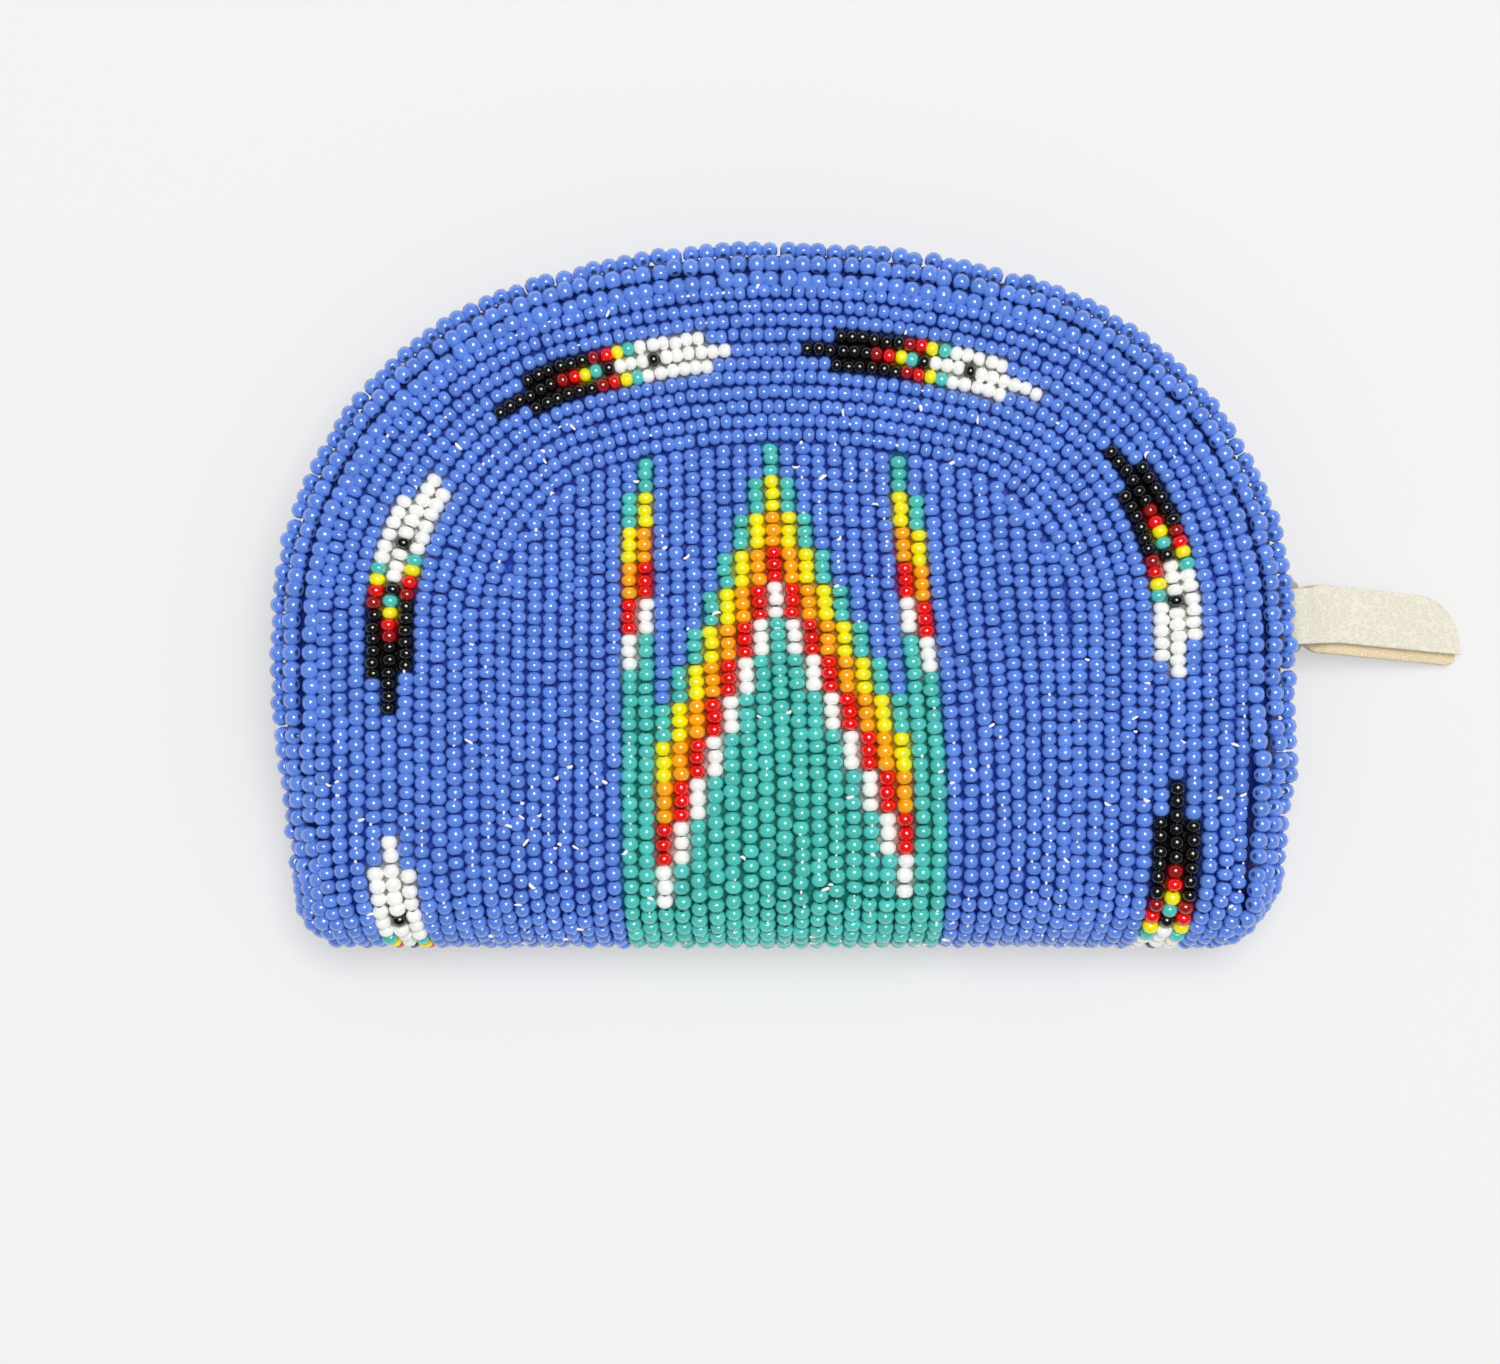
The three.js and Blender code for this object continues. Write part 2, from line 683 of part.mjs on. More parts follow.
function sliderBody() {
  const rails = [];
  const inner = sliderHalfWidth - 0.3;
  const [low, high] = [-sliderLength / 2 + 1, sliderLength / 2 - 4];
  for (const side of [1, -1]) {
    const rail = (x0, x1, reach) => {
      const ends = [side * (reach - railWidth), side * reach].sort((a, b) => a - b);
      return box(x0, x1, low, high, ...ends);
    };
    rails.push(rail(outerFace - railHeight, outerFace + 0.2, sliderHalfWidth));
    rails.push(rail(innerFace - 0.2, innerFace + railHeight, inner));
  }
  const [post0, post1] = [innerFace - plateThickness / 2, outerFace + plateThickness / 2];
  const half = postThickness / 2;
  const post = box(post0, post1, low, low + postLength, -half, half);
  return fused([
    sliderPlate(outerFace, sliderHalfWidth),
    sliderPlate(innerFace - plateThickness, inner),
    post,
    ...rails,
    sliderBridge(),
  ]);
}

// Leather strip doubled round the bridge: x outwards from the bar, y along it
function pullStrip() {
  const [layer0, layer1] = [pullLayerGap / 2, pullLayerGap / 2 + pullThickness];
  const wrap = pullLoop + pullThickness;
  const opening = THREE.MathUtils.degToRad(75);
  const arc = (radius, steps) =>
    Array.from({ length: steps + 1 }, (_, i) => {
      const turn = THREE.MathUtils.lerp(-opening, opening - 2 * Math.PI, i / steps);
      return new THREE.Vector2(0.15 + radius * Math.cos(turn), radius * Math.sin(turn));
    });
  const profile = new THREE.Shape([
    new THREE.Vector2(pullLength, -layer1),
    new THREE.Vector2(pullNeck + pullLayerGap, -layer1),
    ...arc(wrap, 7),
    new THREE.Vector2(pullNeck + pullLayerGap, layer1),
    new THREE.Vector2(pullLength, layer1),
    new THREE.Vector2(pullLength, layer0),
    new THREE.Vector2(pullNeck - pullLayerGap, layer0),
    ...arc(pullLoop, 6).reverse(),
    new THREE.Vector2(pullNeck - pullLayerGap, -layer0),
    new THREE.Vector2(pullLength, -layer0),
  ]);
  const strip = new THREE.ExtrudeGeometry(profile, { depth: 4 * pullWidth, bevelEnabled: false });
  strip.rotateX(Math.PI / 2).translate(0, 2 * pullWidth, 0);

  const neck = bridgeHalfLength - bridgeThickness - sheetGap / 2;
  const half = pullWidth / 2;
  const shoulder = wrap - pullThickness;
  const centre = (x) => -pullShift - pullSkew * (x - shoulder);
  const outline = new THREE.Shape();
  outline.moveTo(-wrap - 1, -neck);
  outline.lineTo(shoulder, -neck);
  outline.lineTo(3, centre(3) - half);
  outline.lineTo(pullLength - 1.5, centre(pullLength) - half);
  outline.quadraticCurveTo(
    pullLength,
    centre(pullLength) - half,
    pullLength,
    centre(pullLength) - half + 1.5,
  );
  outline.lineTo(pullLength, centre(pullLength) + half - pullCorner);
  outline.quadraticCurveTo(
    pullLength,
    centre(pullLength) + half,
    pullLength - pullCorner,
    centre(pullLength - pullCorner) + half,
  );
  outline.lineTo(3, centre(3) + half);
  outline.lineTo(shoulder, neck);
  outline.lineTo(-wrap - 1, neck);
  const options = { depth: 4 * wrap, bevelEnabled: false, curveSegments: 5 };
  const cutter = new THREE.ExtrudeGeometry(outline, options).translate(0, 0, -2 * wrap);

  // The upper layer lies a little askew, so the lower one shows along its edge
  const trim = new THREE.Shape();
  trim.moveTo(shoulder, -neck);
  trim.lineTo(pullNeck, centre(pullNeck) - half + pullAskew);
  trim.lineTo(pullLength + pullAskew, centre(pullLength + pullAskew) - half + pullAskew);
  trim.lineTo(pullLength + pullAskew, -2 * pullWidth);
  trim.lineTo(shoulder, -2 * pullWidth);
  const wedge = new THREE.ExtrudeGeometry(trim, { depth: 2 * wrap, bevelEnabled: false });
  return geometryOf(manifold(strip).intersect(manifold(cutter)).subtract(manifold(wedge)));
}

const slider = new THREE.Group();
slider.position.set(shoulderX, foldRadius + sideLength - quarterFold - originY, midHeight);
slider.rotation.z = sliderTurn;
slider.add(named("zip_slider", sliderBody(), metal()));
purse.add(slider);

// The pull hangs from the bridge with its tip on the table
const pullHalf = pullLayerGap / 2 + pullThickness;
const tipReach = Math.hypot(pullLength, pullHalf);
const pull = new THREE.Group();
pull.position.set(bridgeBar, 0, 0);
pull.rotation.y = Math.asin((midHeight - 0.05) / tipReach) - Math.atan2(pullHalf, pullLength);
pull.add(named("leather_pull", pullStrip(), cloth("leather")));
slider.add(pull);

export default purse;
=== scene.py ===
import math

import bpy
import numpy as np
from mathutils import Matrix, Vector, kdtree, noise


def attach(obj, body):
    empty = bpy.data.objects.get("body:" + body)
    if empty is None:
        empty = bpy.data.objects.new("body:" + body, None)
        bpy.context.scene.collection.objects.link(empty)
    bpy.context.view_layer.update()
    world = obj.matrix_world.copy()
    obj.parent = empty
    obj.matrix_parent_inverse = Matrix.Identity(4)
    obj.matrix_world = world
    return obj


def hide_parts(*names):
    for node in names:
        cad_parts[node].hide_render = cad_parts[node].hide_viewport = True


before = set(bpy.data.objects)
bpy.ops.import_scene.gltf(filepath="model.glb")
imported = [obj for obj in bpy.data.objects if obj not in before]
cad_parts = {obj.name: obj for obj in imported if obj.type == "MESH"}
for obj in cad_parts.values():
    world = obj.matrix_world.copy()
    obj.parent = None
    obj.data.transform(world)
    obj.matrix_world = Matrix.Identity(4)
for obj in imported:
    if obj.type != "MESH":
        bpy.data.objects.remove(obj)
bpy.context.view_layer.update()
scene = bpy.context.scene
scene.view_settings.view_transform = "Standard"
rng = np.random.default_rng(417)
mm = 0.001
fineSteps, laneSteps = 4001, 1401  # samples for lengths, and for places on a lane
print("frame: %d solids" % len(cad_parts))

# the flat oval that is beaded, then folded along v = 0 and rolled in at its edge, in mm
oval = {
    "laneSpacing": 2.02, "columns": 35, "archLanes": 11, "edgingLanes": 3, "crownPacking": 0.88,
    "sideLength": 42.0, "shoulderRadius": 45.7, "crownLift": 2.5, "foldRadius": 7.5, "waist": 0.05,
    "waistReach": 18.0, "frontBulge": 1.5, "bulgeReach": 25.0, "crownTaper": 0.8, "backBow": 0.7,
    "rollAngle": math.radians(75), "mouthGap": 4.6, "seamHalfGap": 0.5, "foldGap": 3.5,
    "mouthFoot": 36.0, "laneHeight": 1.8,
}
spacing = oval["laneSpacing"]
halfWidth = (oval["columns"] / 2 + oval["archLanes"] + oval["edgingLanes"]) * spacing
sideLength = oval["sideLength"]
shoulderRadius = oval["shoulderRadius"]
shoulderX = halfWidth - shoulderRadius
crownRise = shoulderRadius + oval["crownLift"]
panelLength = sideLength + crownRise
crownRadius = (crownRise**2 + shoulderX**2 - shoulderRadius**2) / (2 * oval["crownLift"])
crownV = panelLength - crownRadius
shoulderTurn = math.atan2(sideLength - crownV, shoulderX)
foldRadius = oval["foldRadius"]
quarterFold = foldRadius * math.pi / 2
midHeight = oval["laneHeight"] + foldRadius
shoulderLength = shoulderRadius * shoulderTurn
crownHalfLength = crownRadius * (math.pi / 2 - shoulderTurn)
archLength = 2 * (sideLength + shoulderLength + crownHalfLength)
laneInset = oval["edgingLanes"] * spacing
archInset = laneInset + oval["archLanes"] * spacing
originY = foldRadius + 0.5 * (panelLength - archInset - quarterFold)


def smooth(value, low, high):
    share = np.clip((np.asarray(value, float) - low) / (high - low), 0, 1)
    return share * share * (3 - 2 * share)


# 1 between a rise and a fall, 0 outside them
def spell(value, rise, fall):
    return smooth(value, *rise) * (1 - smooth(value, *fall))


def mix(first, second, share):
    return first + (second - first) * share


def edgeOf(u, v):
    au, av = np.abs(u), np.abs(v)
    onSide = av <= sideLength
    onShoulder = ~onSide & (np.arctan2(av - sideLength, au - shoulderX) <= shoulderTurn)
    du = np.where(onShoulder, au - shoulderX, au)
    dv = np.where(onShoulder, av - sideLength, av - crownV)
    reach = np.maximum(np.hypot(du, dv), 1e-9)
    inset = np.where(onSide, halfWidth - au, np.where(onShoulder, shoulderRadius, crownRadius) - reach)
    nu = np.where(onSide, 1.0, du / reach) * np.sign(u)
    nv = np.where(onSide, 0.0, dv / reach) * np.sign(v)
    return inset, nu, nv


def halfThickness(v, inset):
    back = foldRadius - oval["backBow"] * (1 - np.minimum(1, inset / archInset))
    offFold = smooth(v, quarterFold, quarterFold + oval["bulgeReach"])
    bulge = oval["frontBulge"] * smooth(inset, 0, archInset) * offFold
    front = foldRadius + bulge - oval["crownTaper"] * smooth(v, sideLength, panelLength)
    return np.where(v < 0, back, front)


def halfGap(v):
    seam = oval["seamHalfGap"]
    atFold = (oval["foldGap"] - seam) * (1 - smooth(np.abs(v), 0, quarterFold))
    atMouth = (oval["mouthGap"] - seam) * smooth(np.abs(v), quarterFold, oval["mouthFoot"])
    return seam + atFold + atMouth


# place on the closed purse, in metres, of points (u, v) of the oval at height h over the beads' seat
def folded(u, v, h):
    u, v, h = np.broadcast_arrays(np.asarray(u, float), np.asarray(v, float), np.asarray(h, float))
    inset, nu, nv = edgeOf(u, v)
    thick = halfThickness(v, inset)
    rollRadius = (thick - halfGap(v)) / (1 - math.cos(oval["rollAngle"]))
    roll = np.maximum(0, oval["rollAngle"] - inset / rollRadius)
    shift = h * np.sin(roll) - rollRadius * (roll - np.sin(roll))
    pu, pv = u + shift * nu, v + shift * nv
    height = thick - rollRadius * (1 - np.cos(roll)) + h * np.cos(roll)
    narrow = oval["waist"] * np.maximum(0, 1 - np.abs(pv) / oval["waistReach"]) ** 2
    turn = np.clip(pv / foldRadius, -math.pi / 2, math.pi / 2)
    run = np.maximum(0, np.abs(pv) - quarterFold)
    x = pu * (1 - narrow)
    y = foldRadius - height * np.cos(turn) + run - originY
    return np.stack([x, y, midHeight + height * np.sin(turn)], -1) * mm


# cut edge of the oval: t 0 to 1 over the front arch from left to right, 1 to 2 back along the back
def edgePoint(t):
    t = np.mod(np.asarray(t, float), 2)
    back = t > 1
    t = np.where(back, 2 - t, t)
    right = t > 0.5
    side = np.where(right, 1.0, -1.0)
    s = archLength * np.where(right, 1 - t, t)
    onSide = s <= sideLength
    onShoulder = ~onSide & (s <= sideLength + shoulderLength)
    pastSide = s - sideLength
    overCrown = shoulderTurn + (pastSide - shoulderLength) / crownRadius
    turn = np.where(onSide, 0, np.where(onShoulder, pastSide / shoulderRadius, overCrown))
    radius = np.where(onShoulder, shoulderRadius, crownRadius)
    u = np.where(onSide, halfWidth, np.where(onShoulder, shoulderX, 0) + radius * np.cos(turn))
    v = np.where(onSide, s, np.where(onShoulder, sideLength, crownV) + radius * np.sin(turn))
    flip = np.where(back, -1.0, 1.0)
    return side * u, flip * v, side * np.cos(turn), flip * np.sin(turn)


# lanes lie a little closer over the crown
def laneSpot(t, distance):
    u, v, nu, nv = edgePoint(t)
    reach = distance * (1 - (1 - oval["crownPacking"]) * nv**2)
    return u - reach * nu, v - reach * nv


def unit(vectors):
    return vectors / np.maximum(np.linalg.norm(vectors, axis=-1, keepdims=True), 1e-12)


def linear(red, green, blue):
    def channel(value):
        value /= 255
        return value / 12.92 if value <= 0.04045 else ((value + 0.055) / 1.055) ** 2.4
    return (channel(red), channel(green), channel(blue), 1.0)


# quads between rings of points that follow one another, wound the other way where turned
def tubeFaces(rings, sides, turned=False):
    faces = []
    for row in range(rings - 1):
        low, high = row * sides, (row + 1) * sides
        for k in range(sides):
            m = (k + 1) % sides
            quad = (low + k, low + m, high + m, high + k)
            faces.append((quad[0],) + quad[:0:-1] if turned else quad)
    return faces


def tubeEnds(rings, sides, turned=False):
    first = tuple(range(sides))
    last = tuple((rings - 1) * sides + k for k in first)
    return [first, last[::-1]] if turned else [first[::-1], last]


def addObject(name, data):
    thing = bpy.data.objects.new(name, data)
    scene.collection.objects.link(thing)
    return thing


# a smooth piece, of which the last few faces may stay flat
def addPiece(name, points, faces, materials, faceMaterial=None, values=None, flatFaces=0):
    mesh = bpy.data.meshes.new(name)
    sizes = [len(face) for face in faces]
    mesh.vertices.add(len(points))
    mesh.vertices.foreach_set("co", np.asarray(points, np.float32).ravel())
    mesh.loops.add(sum(sizes))
    mesh.loops.foreach_set("vertex_index", np.concatenate(faces).astype(np.int32))
    mesh.polygons.add(len(faces))
    mesh.polygons.foreach_set("loop_start", np.cumsum([0] + sizes[:-1]).astype(np.int32))
    for material in materials:
        mesh.materials.append(material)
    if faceMaterial is not None:
        mesh.polygons.foreach_set("material_index", np.asarray(faceMaterial, np.int32))
    mesh.update(calc_edges=True)
    mesh.polygons.foreach_set("use_smooth", np.arange(len(faces)) < len(faces) - flatFaces)
    for key, data in (values or {}).items():
        mesh.attributes.new(key, "FLOAT", "POINT").data.foreach_set("value", np.asarray(data, np.float32))
    return addObject(name, mesh)


def newGroup(name, inputs, outputs):
    tree = bpy.data.node_groups.new(name, "ShaderNodeTree")
    for way, sockets in (("INPUT", inputs), ("OUTPUT", outputs)):
        for label, kind in sockets.items():
            tree.interface.new_socket(name=label, in_out=way, socket_type="NodeSocket" + kind)
    return tree, tree.nodes.new("NodeGroupInput").outputs, tree.nodes.new("NodeGroupOutput").inputs


def addNode(tree, kind, links=None, **settings):
    node = tree.nodes.new("ShaderNode" + kind)
    for key, value in settings.items():
        setattr(node, key, value)
    for socket, source in (links or {}).items():
        if isinstance(source, bpy.types.NodeSocket):
            tree.links.new(source, node.inputs[socket])
        else:
            node.inputs[socket].default_value = source
    return node


# the nodes used most, each as its output
def calc(tree, operation, first, second, **settings):
    return addNode(tree, "Math", {0: first, 1: second}, operation=operation, **settings).outputs[0]


def ranged(tree, value, low, high, toLow=0.0, toHigh=1.0, **settings):
    return addNode(tree, "MapRange", {0: value, 1: low, 2: high, 3: toLow, 4: toHigh}, **settings).outputs[0]


def blended(tree, share, first, second):
    return addNode(tree, "Mix", {0: share, 6: first, 7: second}, data_type="RGBA").outputs[2]


def scaled(tree, vector, scale):
    return addNode(tree, "VectorMath", {0: vector, "Scale": scale}, operation="SCALE").outputs[0]


def ownSpace(tree):
    return addNode(tree, "TexCoord").outputs["Object"]


def speckle(tree, scale, detail, roughness=0.5):
    links = {"Vector": ownSpace(tree), "Scale": scale, "Detail": detail, "Roughness": roughness}
    return addNode(tree, "TexNoise", links).outputs["Fac"]


def putOut(tree, outs, **sources):
    for label, source in sources.items():
        tree.links.new(source, outs[label])
    return tree


def newMaterial(name):
    material = bpy.data.materials.new(name)
    material.use_nodes = True
    tree = material.node_tree
    return material, tree, tree.nodes["Principled BSDF"]


# in the looks, a noise is given by its scale, its detail and, where it isn't plain, its roughness
noiseSpan = (0.3, 0.7)  # the stretch of a noise that is used
surface = {"Colour": "Color", "Roughness": "Float"}
relief = {"Height": "Float"}

# glass: each bead has its own depth of colour, a cloudy body, and painted shade at its ends where the bore is
glassLook = {
    "cloud": (1400.0, 3.0), "milk": (0.93, 1.07), "roughness": (0.26, 0.36), "boreShadeStrength": 0.8,
    # painted shade: the near-black that the bead's ends take for the shade in its bore
    "boreShadeColour": (0.004, 0.006, 0.012, 1),
}


def makeGlassGroup():
    tree, ins, outs = newGroup("glassBody", {"Glass": "Color", "Spread": "Float"}, surface)
    marks = ("beadTone", "beadBoreShade")
    tone, boreShade = (addNode(tree, "Attribute", attribute_name=mark).outputs["Fac"] for mark in marks)
    cloud = speckle(tree, *glassLook["cloud"])
    low, high = (calc(tree, way, 1.0, ins["Spread"]) for way in ("SUBTRACT", "ADD"))
    milk = ranged(tree, cloud, *noiseSpan, *glassLook["milk"])
    depth = calc(tree, "MULTIPLY", ranged(tree, tone, 0.0, 1.0, low, high), milk)
    # painted shade: the marked end rows and caps are darkened towards the bore's shade colour
    dark = calc(tree, "MULTIPLY", boreShade, glassLook["boreShadeStrength"])
    return putOut(
        tree, outs,
        Colour=blended(tree, dark, scaled(tree, ins["Glass"], depth), glassLook["boreShadeColour"]),
        Roughness=ranged(tree, cloud, *noiseSpan, *glassLook["roughness"]),
    )


# leather: pebbles of the grain, with creases of their own colour between them
grainLook = {
    "bend": (420.0, 2.0), "bendBy": 0.0011, "pore": (3800.0, 3.0), "creaseWidth": 0.22,
    "speck": (-0.12, 0.12), "roughness": (0.75, 0.5),
}


def makeGrainGroup():
    inputs = {"Hide": "Color", "Crease": "Color", "Size": "Float", "Stretch": "Vector"}
    tree, ins, outs = newGroup("leatherGrain", inputs, surface | relief)
    links = {0: ownSpace(tree), 1: ins["Stretch"]}
    drawn = addNode(tree, "VectorMath", links, operation="MULTIPLY").outputs[0]
    scale, detail = grainLook["bend"]
    warp = addNode(tree, "TexNoise", {"Vector": drawn, "Scale": scale, "Detail": detail})
    bend = scaled(tree, warp.outputs["Color"], grainLook["bendBy"])
    moved = addNode(tree, "VectorMath", {0: drawn, 1: bend}, operation="ADD").outputs[0]
    pebble = addNode(tree, "TexVoronoi", {"Vector": moved, "Scale": ins["Size"]}, feature="DISTANCE_TO_EDGE")
    width = grainLook["creaseWidth"]
    swell = ranged(tree, pebble.outputs["Distance"], 0.0, width, interpolation_type="SMOOTHSTEP")
    speck = ranged(tree, speckle(tree, *grainLook["pore"]), *noiseSpan, *grainLook["speck"])
    share = calc(tree, "ADD", swell, speck, use_clamp=True)
    return putOut(
        tree, outs,
        Colour=blended(tree, share, ins["Crease"], ins["Hide"]),
        Roughness=ranged(tree, share, 0.0, 1.0, *grainLook["roughness"]),
        Height=share,
    )


# cloth: two sets of threads, over and under, with painted shade where the weave dips
weaveLook = {"fuzz": (2500.0, 3.0), "roughness": (0.8, 0.98)}


def makeWeaveGroup():
    inputs = {"Thread": "Color", "Shade": "Color", "Count": "Float"}
    tree, ins, outs = newGroup("plainWeave", inputs, surface | relief)
    links = {"Vector": ownSpace(tree), "Scale": ins["Count"]}
    along, across = (addNode(tree, "TexWave", links, bands_direction=way).outputs["Fac"] for way in "XY")
    fuzz = speckle(tree, *weaveLook["fuzz"])
    # painted shade: the low parts of the weave take the Shade colour
    height = calc(tree, "MULTIPLY", along, across)
    share = calc(tree, "ADD", height, fuzz, use_clamp=True)
    return putOut(
        tree, outs,
        Colour=blended(tree, share, ins["Shade"], ins["Thread"]),
        Roughness=ranged(tree, fuzz, 0.0, 1.0, *weaveLook["roughness"]),
        Height=height,
    )


# plating: fine rubbing marks and dull spots
platingLook = {
    "rub": (700.0, 6.0, 0.7), "spot": (220.0, 2.0), "spotSpan": (0.4, 0.75), "roughness": (0.42, 0.58),
}


def makePlatingGroup():
    tree, ins, outs = newGroup("wornPlating", {"Metal": "Color", "Dull": "Color"}, surface | relief)
    rub = speckle(tree, *platingLook["rub"])
    share = ranged(tree, speckle(tree, *platingLook["spot"]), *platingLook["spotSpan"])
    return putOut(
        tree, outs,
        Colour=blended(tree, share, ins["Metal"], ins["Dull"]),
        Roughness=ranged(tree, rub, *noiseSpan, *platingLook["roughness"]),
        Height=rub,
    )


glassBody = makeGlassGroup()
leatherGrain = makeGrainGroup()
plainWeave = makeWeaveGroup()
wornPlating = makePlatingGroup()


# a material from one of the groups: its colour, roughness and, where there is a bump, height drive the shader
def finish(name, group, values, bump, sockets):
    material, tree, shader = newMaterial(name)
    body = tree.nodes.new("ShaderNodeGroup")
    body.node_tree = group
    for key, value in values.items():
        body.inputs[key].default_value = value
    tree.links.new(body.outputs["Colour"], shader.inputs["Base Color"])
    tree.links.new(body.outputs["Roughness"], shader.inputs["Roughness"])
    if bump:
        strength, distance = bump
        links = {"Height": body.outputs["Height"], "Strength": strength, "Distance": distance * mm}
        tree.links.new(addNode(tree, "Bump", links).outputs["Normal"], shader.inputs["Normal"])
    for key, value in sockets.items():
        shader.inputs[key].default_value = value
    return material


def tanned(name, colours, size, bump, specular, stretch=(1, 1, 1)):
    values = {**colours, "Size": size, "Stretch": stretch}
    return finish(name, leatherGrain, values, bump, {"Specular IOR Level": specular})


def woven(name, thread, shade, count, bump, sheen):
    values = {"Thread": linear(*thread), "Shade": linear(*shade), "Count": count}
    return finish(name, plainWeave, values, bump, {"Sheen Weight": sheen})


# colour of each glass, and how far single beads go from it
beadGlass = {
    "blue": ((98, 140, 230), 0.12),
    "turquoise": ((81, 201, 192), 0.12),
    "white": ((255, 255, 251), 0.03),
    "black": ((5, 5, 6), 0.3),
    "red": ((236, 0, 0), 0.12),
    "garnet": ((158, 8, 10), 0.2),
    "orange": ((255, 172, 0), 0.07),
    "yellow": ((255, 244, 0), 0.05),
}
glassGloss = {"Specular IOR Level": 0.25, "Coat Weight": 1.0, "Coat IOR": 1.85, "Coat Roughness": 0.06}
glass = {}
for colour, (shade, spread) in beadGlass.items():
    values = {"Glass": linear(*shade), "Spread": spread}
    glass[colour] = finish(colour + "Glass", glassBody, values, None, glassGloss)
print("materials: %d glasses" % len(glass))

# one seed bead, a closed ring whose end rows and caps take painted shade for the bore: from an end to its
# middle, in shares of half length and radius
beadShape = {
    "seat": 0.8,
    "front": {"sides": 10, "halfProfile": [(0.88, 0.2), (1.0, 0.39), (0.84, 0.69), (0.35, 0.97)]},
    "edging": {"sides": 10, "halfProfile": [(0.82, 0.22), (0.97, 0.45), (0.78, 0.74), (0.3, 0.985)]},
    "back": {"sides": 8, "halfProfile": [(0.97, 0.33), (0.8, 0.77), (0.0, 1.0)]},
}


def ringBead(sides, halfProfile):
    profile = [(-along, out) for along, out in halfProfile]
    profile = np.array(profile + [(along, out) for along, out in halfProfile[::-1] if along > 0])
    ring = np.arange(sides) * 2 * math.pi / sides
    along = np.repeat(profile[:, 0], sides)
    up = np.outer(profile[:, 1], np.cos(ring)).ravel()
    side = np.outer(profile[:, 1], np.sin(ring)).ravel()
    # the end rows are marked for painted bore shade
    boreShade = np.zeros((len(profile), sides))
    boreShade[[0, -1]] = 1
    faces = tubeFaces(len(profile), sides)
    last = (len(profile) - 1) * sides
    for k in range(1, sides - 2, 2):
        faces.append((k + 2, k + 1, k, 0))
        faces.append((last, last + k, last + k + 1, last + k + 2))
    return along, up, side, boreShade.ravel(), np.array(faces)


beadMeshes = {kind: ringBead(**beadShape[kind]) for kind in ("front", "edging", "back")}

# beads by the field that stands for their solid: u, v, du, dv, half length, radius, height and colour of each
fields = {}


def addBeads(owners, *columns):
    for field, *bead in zip(owners, *columns):
        fields.setdefault(field, []).append(tuple(bead))


# how far hand-sewn beads differ: tilt of the axis, place in mm, length, radius and depth of colour
stray = {
    "tilt": 0.07, "edgingTilt": 0.14, "place": 0.065, "half": 0.045,
    "radius": 0.03, "radiusWithin": (0.92, 1.06), "tone": 0.2,
}


def strew(field):
    data = fields[field]
    u, v, du, dv, half, radius, height = np.array([bead[:-1] for bead in data], float).T.copy()
    names = [bead[-1] for bead in data]
    count = len(data)
    middle = folded(u, v, height)
    rise, step = 0.4, 0.25  # mm to both sides, for the directions
    up = unit(folded(u, v, height + rise) - folded(u, v, height - rise))
    axis = unit(folded(u + step * du, v + step * dv, height) - folded(u - step * du, v - step * dv, height))
    tilt = stray["edgingTilt" if "edging" in field else "tilt"]
    axis = unit(axis + rng.normal(0, tilt, (count, 3)))
    side = unit(np.cross(axis, up))
    up = np.cross(side, axis)
    middle = middle + rng.normal(0, stray["place"], (count, 3)) * mm
    half = half * rng.normal(1, stray["half"], count) * mm
    radius = radius * np.clip(rng.normal(1, stray["radius"], count), *stray["radiusWithin"]) * mm
    kind = "edging" if field == "front_edging" else "back" if field.startswith("back") else "front"
    beadAlong, beadUp, beadSide, beadBoreShade, beadFaces = beadMeshes[kind]
    points = (
        middle[:, None]
        + axis[:, None] * (half[:, None] * beadAlong)[..., None]
        + up[:, None] * (radius[:, None] * beadUp)[..., None]
        + side[:, None] * (radius[:, None] * beadSide)[..., None]
    )
    points[..., 2] = np.maximum(points[..., 2], 0)  # none goes through the table
    size = len(beadAlong)
    faces = (beadFaces[None] + size * np.arange(count)[:, None, None]).reshape(-1, 4)
    used = sorted(set(names), key=lambda name: -names.count(name))
    faceMaterial = np.repeat([used.index(name) for name in names], len(beadFaces))
    tone = np.repeat(np.clip(rng.normal(0.5, stray["tone"], count), 0, 1), size)
    values = {"beadTone": tone, "beadBoreShade": np.tile(beadBoreShade, count)}
    return addPiece(field, points.reshape(-1, 3), faces, [glass[name] for name in used], faceMaterial, values)


# hand-sewn spacing along a lane or column: close at the top, loose below, close again round the fold
sewing = {
    "top": 1.45, "loose": 1.73, "fold": 1.6, "looseFrom": (16, 42), "foldFrom": (5, 14),
    "fill": 1.06, "longest": 0.88,
}


def sewnPitch(v):
    v = np.abs(v)
    onFace = mix(sewing["loose"], sewing["top"], smooth(v, *sewing["looseFrom"]))
    return mix(sewing["fold"], onFace, smooth(v, *sewing["foldFrom"]))


def beadHalf(pitch):
    return np.minimum(sewing["fill"] * pitch / 2, sewing["longest"])


# lanes round the arch: closed loops over front and back, with ten feathers let into three of them
archwork = {
    "beadRadius": 1.08, "crownSlim": 0.14, "laneStart": (0.05, 0.95), "beltLane": 5,
    "featherLanes": [3, 4, 5], "quill": ["black"] * 6 + ["garnet", "red", "yellow", "turquoise"],
    "middleTip": ["black"] + ["white"] * 3 + ["black"] + ["white"] * 6,
    "flankTip": (6, 6), "shortFlankTip": {"upper_right": (5, 5), "right": (6, 5)}, "flankStart": 3,
    "sunkenLane": {"depth": 0.7, "size": 0.87, "from": (0.6, 0.68), "to": (0.92, 0.97)},
}
feathers = {
    "lower_left": ("tip", 0.06), "left": ("tail", 0.124), "upper_left": ("tail", 0.334),
    "upper_right": ("tail", 0.511), "right": ("tail", 0.7075), "lower_right": ("tail", 0.911),
    "back_left": ("tail", 1.124), "back_upper_left": ("tail", 1.338),
    "back_upper_right": ("tail", 1.511), "back_right": ("tail", 1.7),
}


